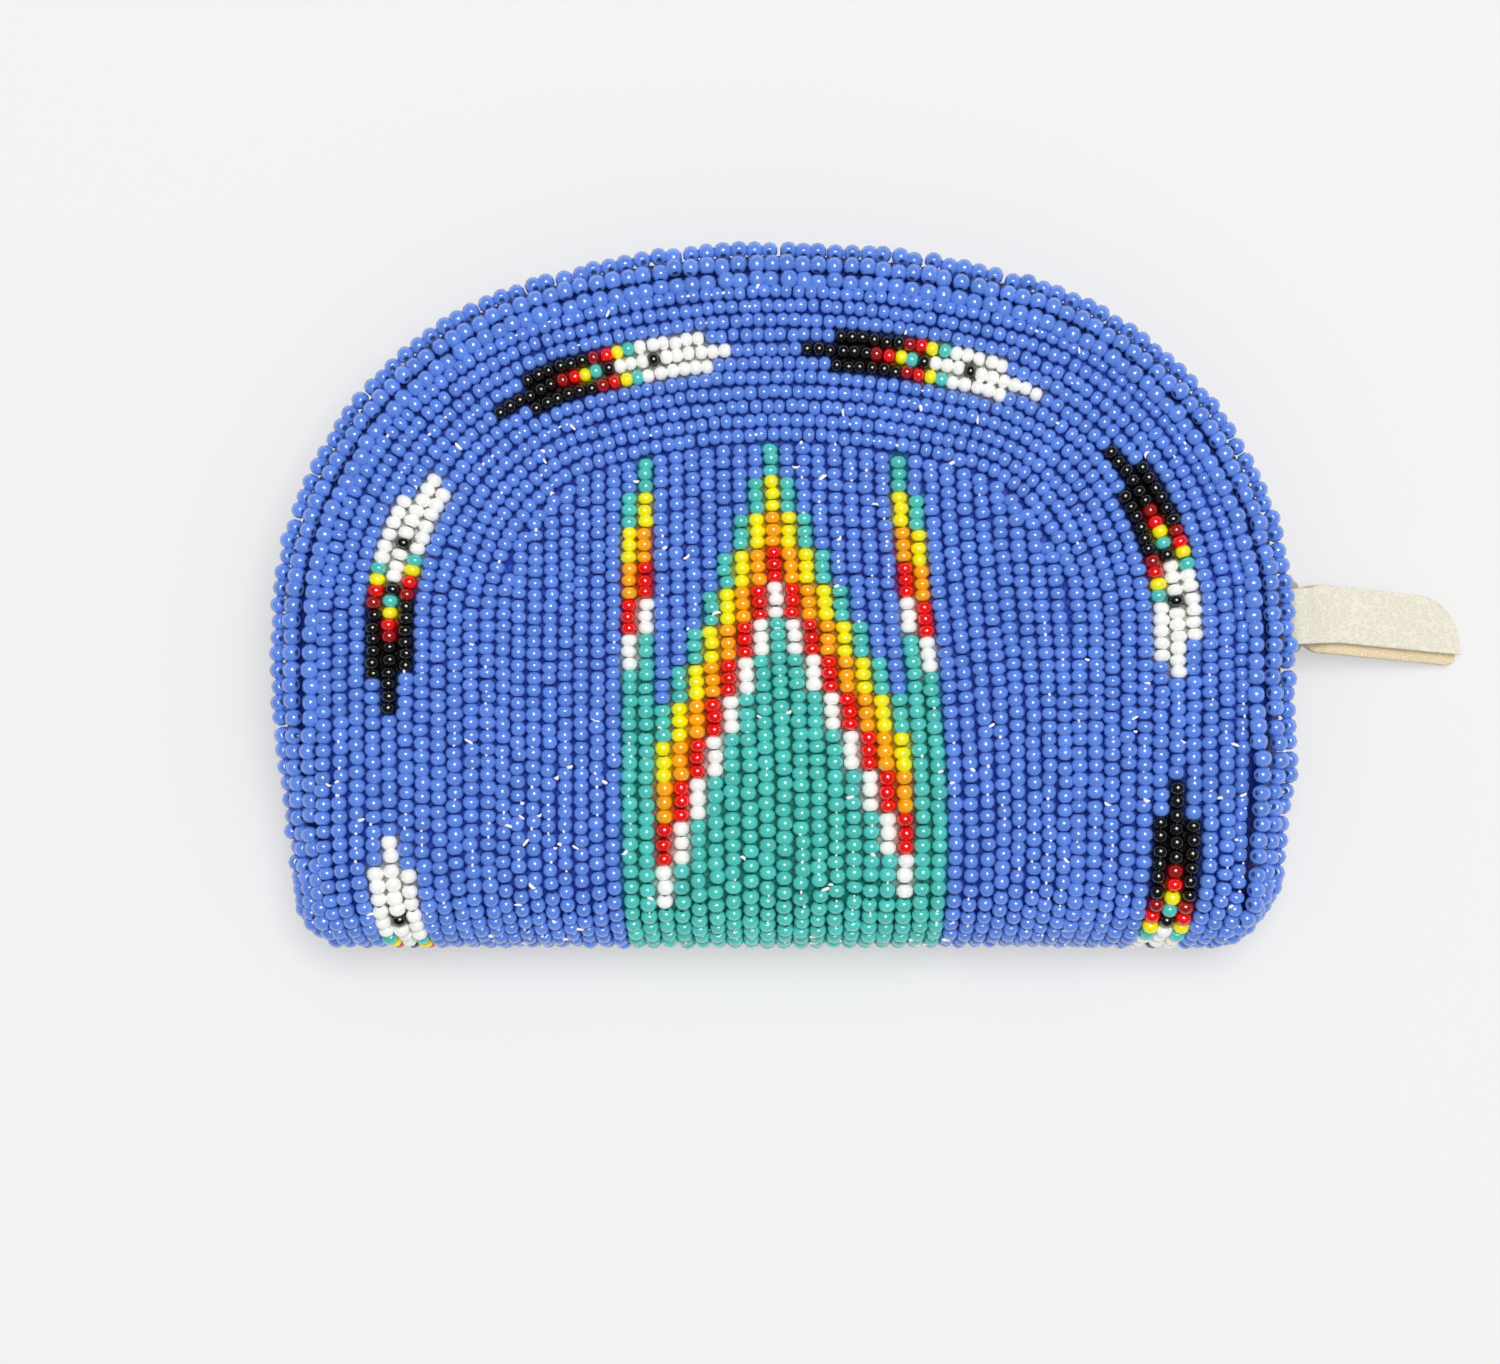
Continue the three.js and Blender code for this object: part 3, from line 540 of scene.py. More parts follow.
# bead centres and half lengths along a closed lane, from a start of its own
def lanePlaces(distance):
    t = np.linspace(0, 2, fineSteps)
    u, v = laneSpot(t, distance)
    path = folded(u, v, beadShape["seat"]) / mm
    length = np.linalg.norm(np.diff(path, axis=0), axis=1)
    pitch = sewnPitch((v[1:] + v[:-1]) / 2)
    number = np.concatenate([[0], np.cumsum(length / pitch)])
    count = int(round(number[-1]))
    scale = number[-1] / count
    places = np.interp((np.arange(count) + rng.uniform(*archwork["laneStart"])) * scale, number, t)
    half = beadHalf(np.interp(places, (t[1:] + t[:-1]) / 2, pitch) * scale)
    return places, half


def nearest(places, t):
    gap = np.abs(np.mod(places - t + 1, 2) - 1)
    return int(np.argmin(gap))


for lane in range(oval["archLanes"]):
    distance = laneInset + (lane + 0.5) * spacing
    places, half = lanePlaces(distance)
    count = len(places)
    colours = ["blue"] * count
    belt = "outer" if lane < archwork["beltLane"] else "inner"
    owner = ["%s_arch_lanes_%s" % ("front" if t < 1 else "back", belt) for t in places]
    if lane in archwork["featherLanes"]:
        row = archwork["featherLanes"].index(lane)
        middle = archwork["quill"] + archwork["middleTip"]
        for name, (end, place) in feathers.items():
            start = nearest(places, place)
            if end == "tip":
                start += 1 - len(middle)
            pattern = middle
            if row != 1:
                whites = archwork["shortFlankTip"].get(name, archwork["flankTip"])[row // 2]
                pattern = archwork["quill"] + ["white"] * whites
                start += archwork["flankStart"]
            for i, colour in enumerate(pattern):
                k = (start + i) % count
                colours[k] = colour
                owner[k] = "back_arch_lanes_" + belt if name.startswith("back") else name + "_feather"
    u, v = laneSpot(places, distance)
    step = 0.0005  # of the lane, for its direction
    ahead, behind = laneSpot(places + step, distance), laneSpot(places - step, distance)
    du, dv = ahead[0] - behind[0], ahead[1] - behind[1]
    size = np.hypot(du, dv)
    height = np.full(count, beadShape["seat"])
    radius = archwork["beadRadius"] * (1 - archwork["crownSlim"] * edgePoint(places)[3] ** 2)
    if lane == 0:
        dip = archwork["sunkenLane"]
        sunk = spell(places, dip["from"], dip["to"])
        height -= dip["depth"] * sunk
        radius *= 1 - (1 - dip["size"]) * sunk
    for field in sorted(set(owner)):
        fields.setdefault(field, [])
    addBeads(owner, u, v, du / size, dv / size, half, radius, height, colours)
print("arch lanes: %d beads" % sum(len(data) for data in fields.values()))

# edging: short strings of beads whipped across the edge, side by side all round
edging = {
    "pitch": 2.02, "perString": 3, "beadRadius": 1.12, "half": 1.06, "start": 0.69, "slip": 0.1,
    "rimSlip": 0.4, "sideSlip": 0.1, "heave": 0.1,
    "slack": {"by": 1.25, "from": (3, 10), "to": (25, 34)},
}
stringCount = int(round(2 * archLength / edging["pitch"]))
reach = laneInset / edging["perString"]
for row in range(edging["perString"]):
    t = (np.arange(stringCount) + 0.5) * 2 / stringCount
    slip = rng.normal(0, edging["slip"], stringCount)
    t = t + rng.normal(0, edging["sideSlip"], stringCount) / archLength
    distance = (row + edging["start"]) * reach + slip * (1.0 if row else edging["rimSlip"])
    u, v = laneSpot(t, distance)
    step = 0.2  # mm inwards, for the direction of the string
    inner = laneSpot(t, distance + step)
    du, dv = inner[0] - u, inner[1] - v
    size = np.hypot(du, dv)
    height = beadShape["seat"] + rng.normal(0, edging["heave"], stringCount)
    # the strings low on the right of the front are slack and arch away from the leather
    slack = edging["slack"]
    height += (t < 1) * slack["by"] * spell(archLength * (1 - t), slack["from"], slack["to"])
    owner = ["front_edging" if at < 1 else "back_edging" for at in t]
    half, radius = (np.full(stringCount, edging[key]) for key in ("half", "beadRadius"))
    addBeads(owner, u, v, du / size, dv / size, half, radius, height, ["blue"] * stringCount)
print("edging: %d strings" % stringCount)

# upright columns: a stepped mountain of bands between two towers, blue on both sides
columnwork = {
    "mountainHalf": 7, "pictureHalf": 9, "step": {-1: 4.62, 1: 4.45}, "peakLift": 0.25,
    "bands": ["turquoise", "yellow", "orange", "red", "white"], "run": 3, "pitchAhead": 0.75,
    "towerDrop": {-9: 4.0, -8: 0.0, 8: 0.5, 9: 4.9}, "clear": 1.75, "least": 0.85,
    "fullness": (0.515, 1.0, 1.13), "uneven": 0.02, "tuck": 0.5, "lean": (0.2, -1.55),
    "pack": (0.055, -0.04), "leanReach": (15, 66), "leanFade": 4, "sideHold": 0.93,
    "rightHold": (0.98, 0.028), "crest": 60.0, "topGap": 0.1, "footStray": 0.7,
}
mountainHalf, pictureHalf, crest = (columnwork[key] for key in ("mountainHalf", "pictureHalf", "crest"))
halfColumns = oval["columns"] // 2
innerU, innerV = laneSpot(np.linspace(0.15, 0.85, laneSteps), archInset)
lastLaneU, lastLaneV = laneSpot(np.linspace(0, 1, laneSteps), archInset - spacing / 2)


def columnTop(u):
    return float(np.interp(u - columnwork["tuck"] * np.sign(u), innerU, innerV)) - columnwork["topGap"]


# hand-sewn columns lean at the top and spread a little at the fold; hold is how far one of them does
def columnLine(k, v):
    u = k * spacing
    share = smooth(np.abs(v), *columnwork["leanReach"])
    hold = 1 - (abs(k) / (0.5 * oval["columns"])) ** columnwork["leanFade"]
    if abs(k) > pictureHalf:
        hold = columnwork["sideHold"] * (halfColumns + 1 - abs(k)) / (halfColumns + 1 - pictureHalf)
    if k > pictureHalf:
        most, drop = columnwork["rightHold"]
        hold = mix(hold, most - drop * (k - pictureHalf), share)
    return u + hold * (mix(*columnwork["lean"], share) + mix(*columnwork["pack"], share) * u)


# bead places and pitches from one height down to another
def sewnRun(top, foot, samples=300):
    v = np.linspace(top, foot, samples)
    loose = rng.normal(1, columnwork["uneven"])
    pitch = sewnPitch((v[1:] + v[:-1]) / 2)
    number = np.concatenate([[0], np.cumsum((top - foot) / (samples - 1) / pitch)]) / loose
    count = int(round(number[-1]))
    if count < 1:
        return []
    edges = np.interp(np.arange(count + 1) * number[-1] / count, number, v)
    return [((a + b) / 2, a - b) for a, b in zip(edges, edges[1:])]


# places, pitches and colours of one column, from its top down to its foot at the fold
def columnBeads(k, foot):
    top = columnTop(columnLine(k, crest))
    if abs(k) <= mountainHalf:
        peak = columnTop(columnLine(0, crest)) + columnwork["peakLift"]
        start = peak - columnwork["step"][1 if k > 0 else -1] * abs(k)
    elif k in columnwork["towerDrop"]:
        start = top - columnwork["towerDrop"][k]
    else:
        start = foot
    beads = [(at, size, "blue") for at, size in sewnRun(top, start)]
    if abs(k) > pictureHalf:
        return beads
    at = start
    for band in columnwork["bands"]:
        for _ in range(columnwork["run"]):
            pitch = float(sewnPitch(at - columnwork["pitchAhead"]))
            beads.append((at - pitch / 2, pitch, band))
            at -= pitch
    return beads + [(at, size, "turquoise") for at, size in sewnRun(at, foot)]


def columnField(k, face, colour, pastBands):
    side = "left" if k < 0 else "right"
    if face < 0:
        return "back_%s_columns" % (side if abs(k) > pictureHalf else "turquoise")
    if abs(k) > pictureHalf:
        return "front_%s_columns" % side
    if abs(k) > mountainHalf:
        return "front_%s_tower" % side
    if colour == "blue":
        return "upper_columns"
    return "turquoise_field" if pastBands else colour + "_band"


for k in range(-halfColumns, halfColumns + 1):
    foot = rng.uniform(-columnwork["footStray"], columnwork["footStray"])
    for face in (1, -1):
        beads = columnBeads(k, face * foot)
        lastBand = max([i for i, bead in enumerate(beads) if bead[2] == "white"], default=-1)
        for i, (place, size, colour) in enumerate(beads):
            field = columnField(k, face, colour, i > lastBand)
            v = face * place
            u = columnLine(k, v)
            away = np.hypot(lastLaneU - u, lastLaneV - abs(v))
            near = int(np.argmin(away))
            if away[near] < columnwork["least"]:
                continue
            push = max(0.0, columnwork["clear"] / away[near] - 1)
            u += push * (u - lastLaneU[near])
            v += push * (v - math.copysign(lastLaneV[near], v))
            step = 0.2  # mm up and down, for the direction of the column
            du = (columnLine(k, v + step) - columnLine(k, v - step)) / (2 * step)
            share, least, most = columnwork["fullness"]
            radius = min(most, max(least, share * (columnLine(k + 0.5, v) - columnLine(k - 0.5, v))))
            bead = (u, v, du, 1.0, beadHalf(size), radius, beadShape["seat"], colour)
            fields.setdefault(field, []).append(bead)

slots = {colour: colour + "_beads" for colour in beadGlass}
slots["garnet"] = "red_beads"
beadCount = 0
for field in fields:
    nodes = [field.rsplit("_", 1)[0]] if "arch_lanes" in field else [field]
    if "feather" in field:
        nodes = [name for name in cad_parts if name.startswith(field + "_")]
    piece = strew(field)
    piece.name = field + "_beads"
    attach(piece, "purse")
    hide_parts(*nodes)
    names = [bead[-1] for bead in fields[field]]
    beadCount += len(names)
print("beads: %d in %d fields" % (beadCount, len(fields)))

# leather and lining: the same oval, folded with the beads, as closed thin shells
sheets = {
    "leather_shell": {"rim": 0.0, "outer": -0.5, "inner": -1.7, "around": 300, "rings": 18, "across": 46},
    "lining": {"rim": 3.0, "outer": -2.1, "inner": -2.6, "around": 240, "rings": 10, "across": 20},
}


# painted light on the hide: it takes the nearest beads' colour twice over, standing in for light thrown
# between the beads; under the edging it is painted darker, as shade between its rows
hideTint = {"nearest": 3, "soften": 0.2, "edging": 0.4, "crease": 0.6}


def tintAt(spots):
    beads, depth = [], []
    for field, data in fields.items():
        beads += data
        # painted shade: the hide under the edging gets a darker share
        depth += [hideTint["edging"] if "edging" in field else 1.0] * len(data)
    tree = kdtree.KDTree(len(beads))
    for i, bead in enumerate(beads):
        tree.insert((bead[0], bead[1], 0.0), i)
    tree.balance()
    bounceColours = np.array([linear(*beadGlass[bead[-1]][0]) for bead in beads]) ** 2 * np.array(depth)[:, None]
    tint = np.zeros((len(spots), 4))
    for row, spot in zip(tint, spots):
        found = tree.find_n((spot[0], spot[1], 0.0), hideTint["nearest"])
        weights = np.array([1 / (away + hideTint["soften"]) for _, _, away in found])
        row[:] = weights @ bounceColours[[i for _, i, _ in found]] / weights.sum()
    return tint


# rings inwards from the rim, then rungs across what they leave
def foldedSheet(name, rim, outer, inner, materials, around, rings, across, ringPower=0.8):
    loop = np.arange(around) * 2 / around
    reaches = np.linspace(0, 1, rings) ** ringPower * (archInset - rim) + rim
    flat = [np.stack(laneSpot(loop, reach), -1) for reach in reaches]
    quarter, opposite = around // 4, around // 2
    rungs = [(i, opposite - i) for i in range(1, quarter)]
    rungs += [(around - i, opposite + i) for i in range(1, quarter)] + [(0, opposite)]
    spots = list(np.concatenate(flat))
    last = (rings - 1) * around
    ladder = {}
    for left, right in rungs:
        a, b = spots[last + left], spots[last + right]
        inside = []
        for k in range(1, across):
            inside.append(len(spots))
            spots.append(a + (b - a) * k / across)
        ladder[left] = [last + left] + inside + [last + right]
    faces = tubeFaces(rings, around, turned=True)
    for step in (1, -1):
        order = [ladder[(step * i) % around] for i in range(quarter)]
        # the last rung closes on the crown as a fan of thin faces
        order.append([last + (step * quarter) % around] * (across + 1))
        for low, high in zip(order, order[1:]):
            for k in range(across):
                quad = (low[k], low[k + 1], high[k + 1], high[k])
                faces.append(quad if step > 0 else quad[::-1])
    spots = np.array(spots)
    count = len(spots)
    points = np.concatenate([folded(spots[:, 0], spots[:, 1], h) for h in (outer, inner)])
    shell = faces + [tuple(count + i for i in face[::-1]) for face in faces]
    for k in range(around):
        m = (k + 1) % around
        shell.append((k, m, count + m, count + k))
    kept = [tuple(dict.fromkeys(face)) for face in shell]
    piece = addPiece(name, points, kept, materials)
    # the painted bounce light and shade are stored on the shell's points
    tint = np.tile(tintAt(spots), (2, 1)).astype(np.float32)
    piece.data.attributes.new("paintedBounceTint", "FLOAT_COLOR", "POINT").data.foreach_set("color", tint.ravel())
    return piece


# the hide's colour is painted light: bounce from the beads, with painted shade under the edging; its creases
# are darker still
hideLeather = tanned("beadBounceHide", {}, 1100.0, (0.3, 0.1), 0.3)
hideTree = hideLeather.node_tree
grainNode = next(node for node in hideTree.nodes if node.type == "GROUP")
tint = addNode(hideTree, "Attribute", attribute_name="paintedBounceTint").outputs["Color"]
putOut(hideTree, grainNode.inputs, Hide=tint, Crease=scaled(hideTree, tint, hideTint["crease"]))
liningCloth = woven("liningCotton", (206, 200, 186), (150, 143, 128), 330.0, (0.4, 0.15), 0.2)
for name, material in {"leather_shell": hideLeather, "lining": liningCloth}.items():
    piece = foldedSheet(name + "_sheet", materials=[material], **sheets[name])
    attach(piece, "purse")
    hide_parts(name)

# sewing thread that shows in patches: nubs between the beads of a lane and longer crossings beside them
stitching = {
    "share": 0.24, "patch": 0.075, "patchLayer": 4.0, "patchGain": (0.55, 2.6), "patchWithin": (0.08, 2.2),
    "atTop": 0.5, "crossShare": 0.25, "nubStray": 0.12, "lean": 0.5, "nubLean": 0.4,
    "nub": {"length": (0.25, 0.5), "radius": (0.12, 0.21), "height": (1.35, 1.6), "bend": 0.05},
    "crossing": {"length": (0.5, 1.2), "radius": (0.15, 0.25), "height": (1.25, 1.55), "bend": 0.14},
}
threadWhite = woven("sewingThread", (255, 254, 252), (244, 243, 243), 900.0, (0.3, 0.03), 0.3)


# a short bent thread, thinner at both ends
def threadBit(middle, way, up, length, radius, bend, points, faces, sides=6):
    first = unit(np.cross(way, up))
    second = np.cross(way, first)
    start = len(points)
    rows = ((-0.5, 0.5), (-0.25, 1.0), (0.25, 1.0), (0.5, 0.5))
    for share, thin in rows:
        sway = first * bend * math.cos(math.pi * share) * mm
        for k in range(sides):
            turn = 2 * math.pi * k / sides
            out = (first * math.cos(turn) + second * math.sin(turn)) * radius * thin * mm
            points.append(middle + way * share * length * mm + sway + out)
    tube = tubeFaces(len(rows), sides) + tubeEnds(len(rows), sides)
    faces += [tuple(start + k for k in face) for face in tube]


def addStitches():
    spots = [bead for field, data in fields.items() if "edging" not in field for bead in data]
    points, faces, made = [], [], 0
    base, gain = stitching["patchGain"]
    least, most = stitching["patchWithin"]
    for u, v, du, dv, half, _, _, colour in spots:
        if colour not in ("blue", "turquoise"):
            continue
        patch = noise.noise((u * stitching["patch"], v * stitching["patch"], stitching["patchLayer"]))
        loose = stitching["atTop"] + float(1 - smooth(np.abs(v), *sewing["looseFrom"]))
        draw, kindDraw = rng.uniform(size=2)
        if draw > stitching["share"] * loose * min(most, max(least, base + gain * patch)):
            continue
        crossing = kindDraw < stitching["crossShare"]
        kind = stitching["crossing" if crossing else "nub"]
        h = rng.uniform(*kind["height"])
        size = np.hypot(du, dv)
        du, dv = du / size, dv / size
        side = 0.5 * spacing * rng.uniform(-1, 1) if crossing else rng.normal(0, stitching["nubStray"])
        at = np.array([u + du * half + dv * side, v + dv * half - du * side])
        middle = folded(at[0], at[1], h)
        rise, step = 0.3, 0.2  # mm, for the directions
        up = unit(folded(at[0], at[1], h + rise) - middle)
        along = unit(folded(at[0] + step * du, at[1] + step * dv, h) - middle)
        across = np.cross(up, along)
        lean = rng.normal(0, stitching["lean"])
        way = unit(across + along * lean if crossing else along + stitching["nubLean"] * across * lean)
        length, radius = rng.uniform(*kind["length"]), rng.uniform(*kind["radius"])
        threadBit(middle, way, up, length, radius, rng.normal(0, kind["bend"]), points, faces)
        made += 1
    return addPiece("couching_stitches", points, faces, [threadWhite]), made


stitches, stitchCount = addStitches()
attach(stitches, "purse")
print("stitches: %d" % stitchCount)

# zip: tapes along the mouth, moulded teeth on their spines, plated stops and slider
zipper = {
    "inset": 4.2, "foot": 33.5, "tapeFoot": 31.0, "tapeEdge": 2.3, "tapeFold": 3.1,
    "tapeThickness": 0.5, "tapeReach": 5.5, "depth": 2.2, "spine": (1.3, 1.9), "pitch": 5 / 3,
    "tooth": (1.4, 1.0, 0.45, 1.6), "stagger": 0.25, "tapeRound": 0.2, "spineRound": 0.25,
}


def zipPoint(t, inset, z):
    u, v, nu, nv = edgePoint(t)
    x, y = u - inset * nu, foldRadius + v - inset * nv - quarterFold - originY
    return np.stack([x, y, midHeight + z + 0 * x], -1) * mm


def zipStrip(foot, section, side, rows=220):
    t = np.linspace(foot / archLength, 1 - foot / archLength, rows)
    corners = section if side > 0 else section[::-1]
    count = len(corners)
    points = np.stack([zipPoint(t, inset, side * z) for inset, z in corners], 1).reshape(-1, 3)
    return points, tubeFaces(rows, count, turned=True), tubeEnds(rows, count, turned=True)


def rectangle(left, right, low, high):
    return [(left, low), (right, low), (right, high), (left, high)]


# rounds the corners of a section, so that no edge of it is sharp
def softened(section, radius, steps=3, most=0.45):
    made = []
    corners = [np.array(corner) for corner in section]
    for before, at, after in zip(corners[-1:] + corners[:-1], corners, corners[1:] + corners[:1]):
        a, b = (mix(at, end, min(most, radius / np.linalg.norm(end - at))) for end in (before, after))
        for k in range(steps + 1):
            s = k / steps
            made.append(tuple((1 - s) ** 2 * a + 2 * s * (1 - s) * at + s * s * b))
    return made


tapeCloth = woven("zipTape", (58, 88, 172), (26, 44, 104), 520.0, (0.5, 0.12), 0.3)
resin = {"Glass": linear(48, 76, 150), "Spread": 0.05}
toothResin = finish("zipTeeth", glassBody, resin, None, {"IOR": 1.48})
metals = {"Metal": linear(142, 140, 134), "Dull": linear(100, 98, 92)}
plating = finish("nickelPlating", wornPlating, metals, (0.08, 0.02), {"Metallic": 1.0})


def addStrip(name, node, points, faces, caps, material, slot):
    piece = addPiece(name, points, faces + caps, [material], flatFaces=len(caps))
    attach(piece, "purse")
    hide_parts(node)


# one tooth: a block with broken corners, outwards, along the chain and across it
def toothBlock(depth, length, low, high, chamfer=0.18, endShare=0.72):
    outline = softened(rectangle(-depth / 2, depth / 2, low, high), chamfer, 2)
    end, middle = length / 2, (low + high) / 2
    rows = [(-end, endShare), (-end + chamfer, 1.0), (end - chamfer, 1.0), (end, endShare)]
    points = [(a * grow, along, middle + (z - middle) * grow) for along, grow in rows for a, z in outline]
    count = len(outline)
    return np.array(points), tubeFaces(len(rows), count), tubeEnds(len(rows), count)


for face, side in {"front": 1, "back": -1}.items():
    inset, thick, edge, foldZ = (zipper[key] for key in ("inset", "tapeThickness", "tapeEdge", "tapeFold"))
    near, far, reachIn = inset - thick / 2, inset + thick / 2, inset + zipper["tapeReach"]
    section = [(near, edge), (far, edge), (far, foldZ), (reachIn, foldZ + thick)]
    section += [(reachIn, foldZ + 2 * thick), (near, foldZ + thick)]
    tape = zipStrip(zipper["tapeFoot"], softened(section, zipper["tapeRound"]), side)
    addStrip("zip_tape_%s_cloth" % face, "zip_tape_" + face, *tape, tapeCloth, "zip_tape")
    half = zipper["depth"] / 2
    section = softened(rectangle(inset - half, inset + half, *zipper["spine"]), zipper["spineRound"])
    points, faces, caps = zipStrip(zipper["foot"], section, side)
    points = list(points)
    block, blockFaces, blockCaps = toothBlock(*zipper["tooth"])
    run = archLength - 2 * zipper["foot"]
    for i in range(int(run / zipper["pitch"]) - 1):
        t = (zipper["foot"] + (i + 1 + zipper["stagger"] * side) * zipper["pitch"]) / archLength
        nu, nv = edgePoint(t)[2:]
        out, along = np.array([nu, nv, 0.0]), np.array([-nv, nu, 0.0])
        at = zipPoint(t, inset, 0.0)
        start = len(points)
        for a, b, z in block:
            points.append(at + (out * a + along * b * side + np.array([0, 0, side * z])) * mm)
        faces += [tuple(start + k for k in quad) for quad in blockFaces]
        caps += [tuple(start + k for k in cap) for cap in blockCaps]
    addStrip("zip_teeth_%s_chain" % face, "zip_teeth_" + face, points, faces, caps, toothResin, "zip_teeth")
for node in ("top_stop_front", "top_stop_back", "bottom_stop", "zip_slider"):
    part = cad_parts[node]
    part.data.materials.clear()
    part.data.materials.append(plating)
print("zip: tapes, teeth, stops and slider")

# pull: a strip of cream leather doubled round the slider's bridge, its tip resting on the table
pull = {
    "bar": (64.3358, 7.1756, 9.3), "turn": math.radians(2.5), "droop": math.radians(20.67),
    "length": 22.9, "width": 8.0, "thickness": 1.1, "gap": 0.3, "loop": 1.25, "neck": 3.5,
    "corner": 6.5, "skew": 0.125, "shift": 0.4, "askew": 1.4, "rise": 0.5, "lowCorner": 1.5,
    "flareFrom": 0.7, "flareTo": 3.2, "join": 5.6, "tipWidth": 0.6, "opening": math.radians(75),
    "offBar": 0.15, "bow": 0.25, "rows": {"layer": 62, "ease": 14, "loop": 22, "crowding": 1.25},
    "crease": {"top": 0.6, "foot": 4.2, "depth": 0.16, "width": 0.3},
    "pebble": {"height": 0.05, "along": 0.7, "across": 1.5, "steep": 1.5, "layerShift": 7},
    "thinEdge": 0.8,
}


def pullCentre(x):
    return -pull["shift"] - pull["skew"] * (x - pull["loop"])


def pullEdges(x):
    half, length, rise = pull["width"] / 2, pull["length"], pull["rise"]

    def corner(value, size, y0, y1, y2):
        s = 1 - np.sqrt(np.clip((length - x) / size, 0, 1))
        return np.where(x > length - size, (1 - s) ** 2 * y0 + 2 * s * (1 - s) * y1 + s * s * y2, value)

    flare = smooth(x, pull["flareFrom"] * pull["loop"], pull["flareTo"])
    high = mix(pull["neck"], pullCentre(x) + half + rise, flare)
    low = mix(-pull["neck"], pullCentre(x) - half, flare)
    size, tip = pull["corner"], pullCentre(length)
    high = corner(high, size, pullCentre(length - size) + half + rise, tip + half + rise, tip + half - size)
    size = pull["lowCorner"]
    low = corner(low, size, pullCentre(length - size) - half, tip - half, tip - half + size)
    return low, high


# the upper layer lies askew and ends where its cut meets the round corner
def upperCut(x):
    def cut(at):
        return pullCentre(at) - pull["width"] / 2 + pull["askew"]

    loop, join = pull["loop"], pull["join"]
    return np.where(x < join, np.interp(x, [loop, join], [-pull["neck"], cut(join)]), cut(x))


def upperEnd(samples=400):
    x = np.linspace(pull["length"] - pull["corner"], pull["length"], samples)
    return x[np.argmax(pullEdges(x)[1] - upperCut(x) < pull["tipWidth"])]


# middle of the strip's thickness, from the upper layer's end round the bar to the lower layer's end
def pullLine():
    lift = pull["gap"] / 2 + pull["thickness"] / 2
    radius = pull["loop"] + pull["thickness"] / 2
    opening, offBar, rows = pull["opening"], pull["offBar"], pull["rows"]
    fade = np.linspace(0, 1, rows["layer"]) ** rows["crowding"]
    under, over = (mix(end, pull["join"], fade) for end in (pull["length"], upperEnd()))
    upper = np.stack([over, np.full_like(over, lift)], -1)
    lower = np.stack([under, np.full_like(under, -lift)], -1)
    start = np.array([offBar + radius * math.cos(opening), radius * math.sin(opening)])
    ramp = np.linspace(0, 1, rows["ease"])[1:-1, None]
    bow = np.array([0, pull["bow"]]) * np.sin(math.pi * ramp)
    ease = mix(upper[-1], start, ramp) - bow
    turn = np.linspace(opening, 2 * math.pi - opening, rows["loop"])
    loop = np.stack([offBar + radius * np.cos(turn), radius * np.sin(turn)], -1)
    mirror = np.array([1, -1])
    return np.concatenate([upper, ease, loop, (ease * mirror)[::-1], lower[::-1]])


def addPull():
    line = pullLine()
    ahead = np.gradient(line, axis=0)
    ahead /= np.linalg.norm(ahead, axis=1, keepdims=True)
    out = np.stack([ahead[:, 1], -ahead[:, 0]], -1)
    # stations across the strip: its thin edge, a smooth margin, and the grained middle
    thin, margin, grained = 0.0, 0.02, 0.05
    wide = np.concatenate([[thin, margin], np.linspace(grained, 1 - grained, 25), [1 - margin, 1 - thin]])
    half = pull["thickness"] / 2
    low, high = pullEdges(line[:, 0])
    upper = (np.arange(len(line)) < len(line) / 2) & (line[:, 0] > pull["loop"])
    low = np.where(upper, np.maximum(low, upperCut(line[:, 0])), low)
    count = len(wide)
    pebble, fold = pull["pebble"], pull["crease"]
    rows = []
    for i, (x, z) in enumerate(line):
        y = mix(low[i], high[i], wide)
        ring = []
        for sign, order in ((1, range(count)), (-1, range(count - 1, -1, -1))):
            for k in order:
                edge = min(wide[k], 1 - wide[k])
                lift = half * (1 if edge > margin / 2 else pull["thinEdge"])
                if sign > 0 and edge > (margin + grained) / 2:
                    along = x * pebble["along"] + pebble["layerShift"] * (i > len(line) / 2)
                    cell = noise.voronoi((along, y[k] * pebble["across"], 0.0))[0]
                    lift += pebble["height"] * (0.5 - min(1.0, cell[0] * pebble["steep"]))
                    away = x - fold["top"] - (fold["foot"] - fold["top"]) * (1 - wide[k])
                    lift -= fold["depth"] * math.exp(-((away / fold["width"]) ** 2)) * (z > 0)
                spot = line[i] + out[i] * lift * sign
                ring.append((spot[0], y[k], spot[1]))
        rows.append(ring)
    flat = np.array(rows).reshape(-1, 3)
    ct, st = math.cos(pull["turn"]), math.sin(pull["turn"])
    cd, sd = math.cos(pull["droop"]), math.sin(pull["droop"])
    outward, along, upward = np.array([[ct * cd, st * cd, -sd], [-st, ct, 0.0], [ct * sd, st * sd, cd]])
    x, y, z = flat[:, :1], flat[:, 1:2], flat[:, 2:]
    placed = (np.array(pull["bar"]) + x * outward + y * along + z * upward) * mm
    ringCount = 2 * count
    faces = tubeFaces(len(line), ringCount)
    kinds = ([0] * (count - 1) + [1] * (count + 1)) * (len(line) - 1)
    for first, flip in ((0, False), ((len(line) - 1) * ringCount, True)):
        for k in range(count - 1):
            quad = (first + k, first + ringCount - 1 - k, first + ringCount - 2 - k, first + k + 1)
            faces.append(quad[::-1] if flip else quad)
            kinds.append(1)
    return addPiece("leather_pull_strip", placed, faces, [creamHide, rawEdge], kinds)


cream = {"Hide": linear(226, 221, 202), "Crease": linear(238, 233, 216)}
raw = {"Hide": linear(240, 227, 196), "Crease": linear(224, 203, 160)}
creamHide = tanned("creamHide", cream, 1900.0, (0.45, 0.1), 0.35, stretch=(0.45, 1.0, 1.0))
rawEdge = tanned("rawHideEdge", raw, 2600.0, (0.4, 0.1), 0.2)
strip = addPull()
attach(strip, "pull")
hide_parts("leather_pull")
print("pull: doubled strip of %.1f mm" % pull["length"])

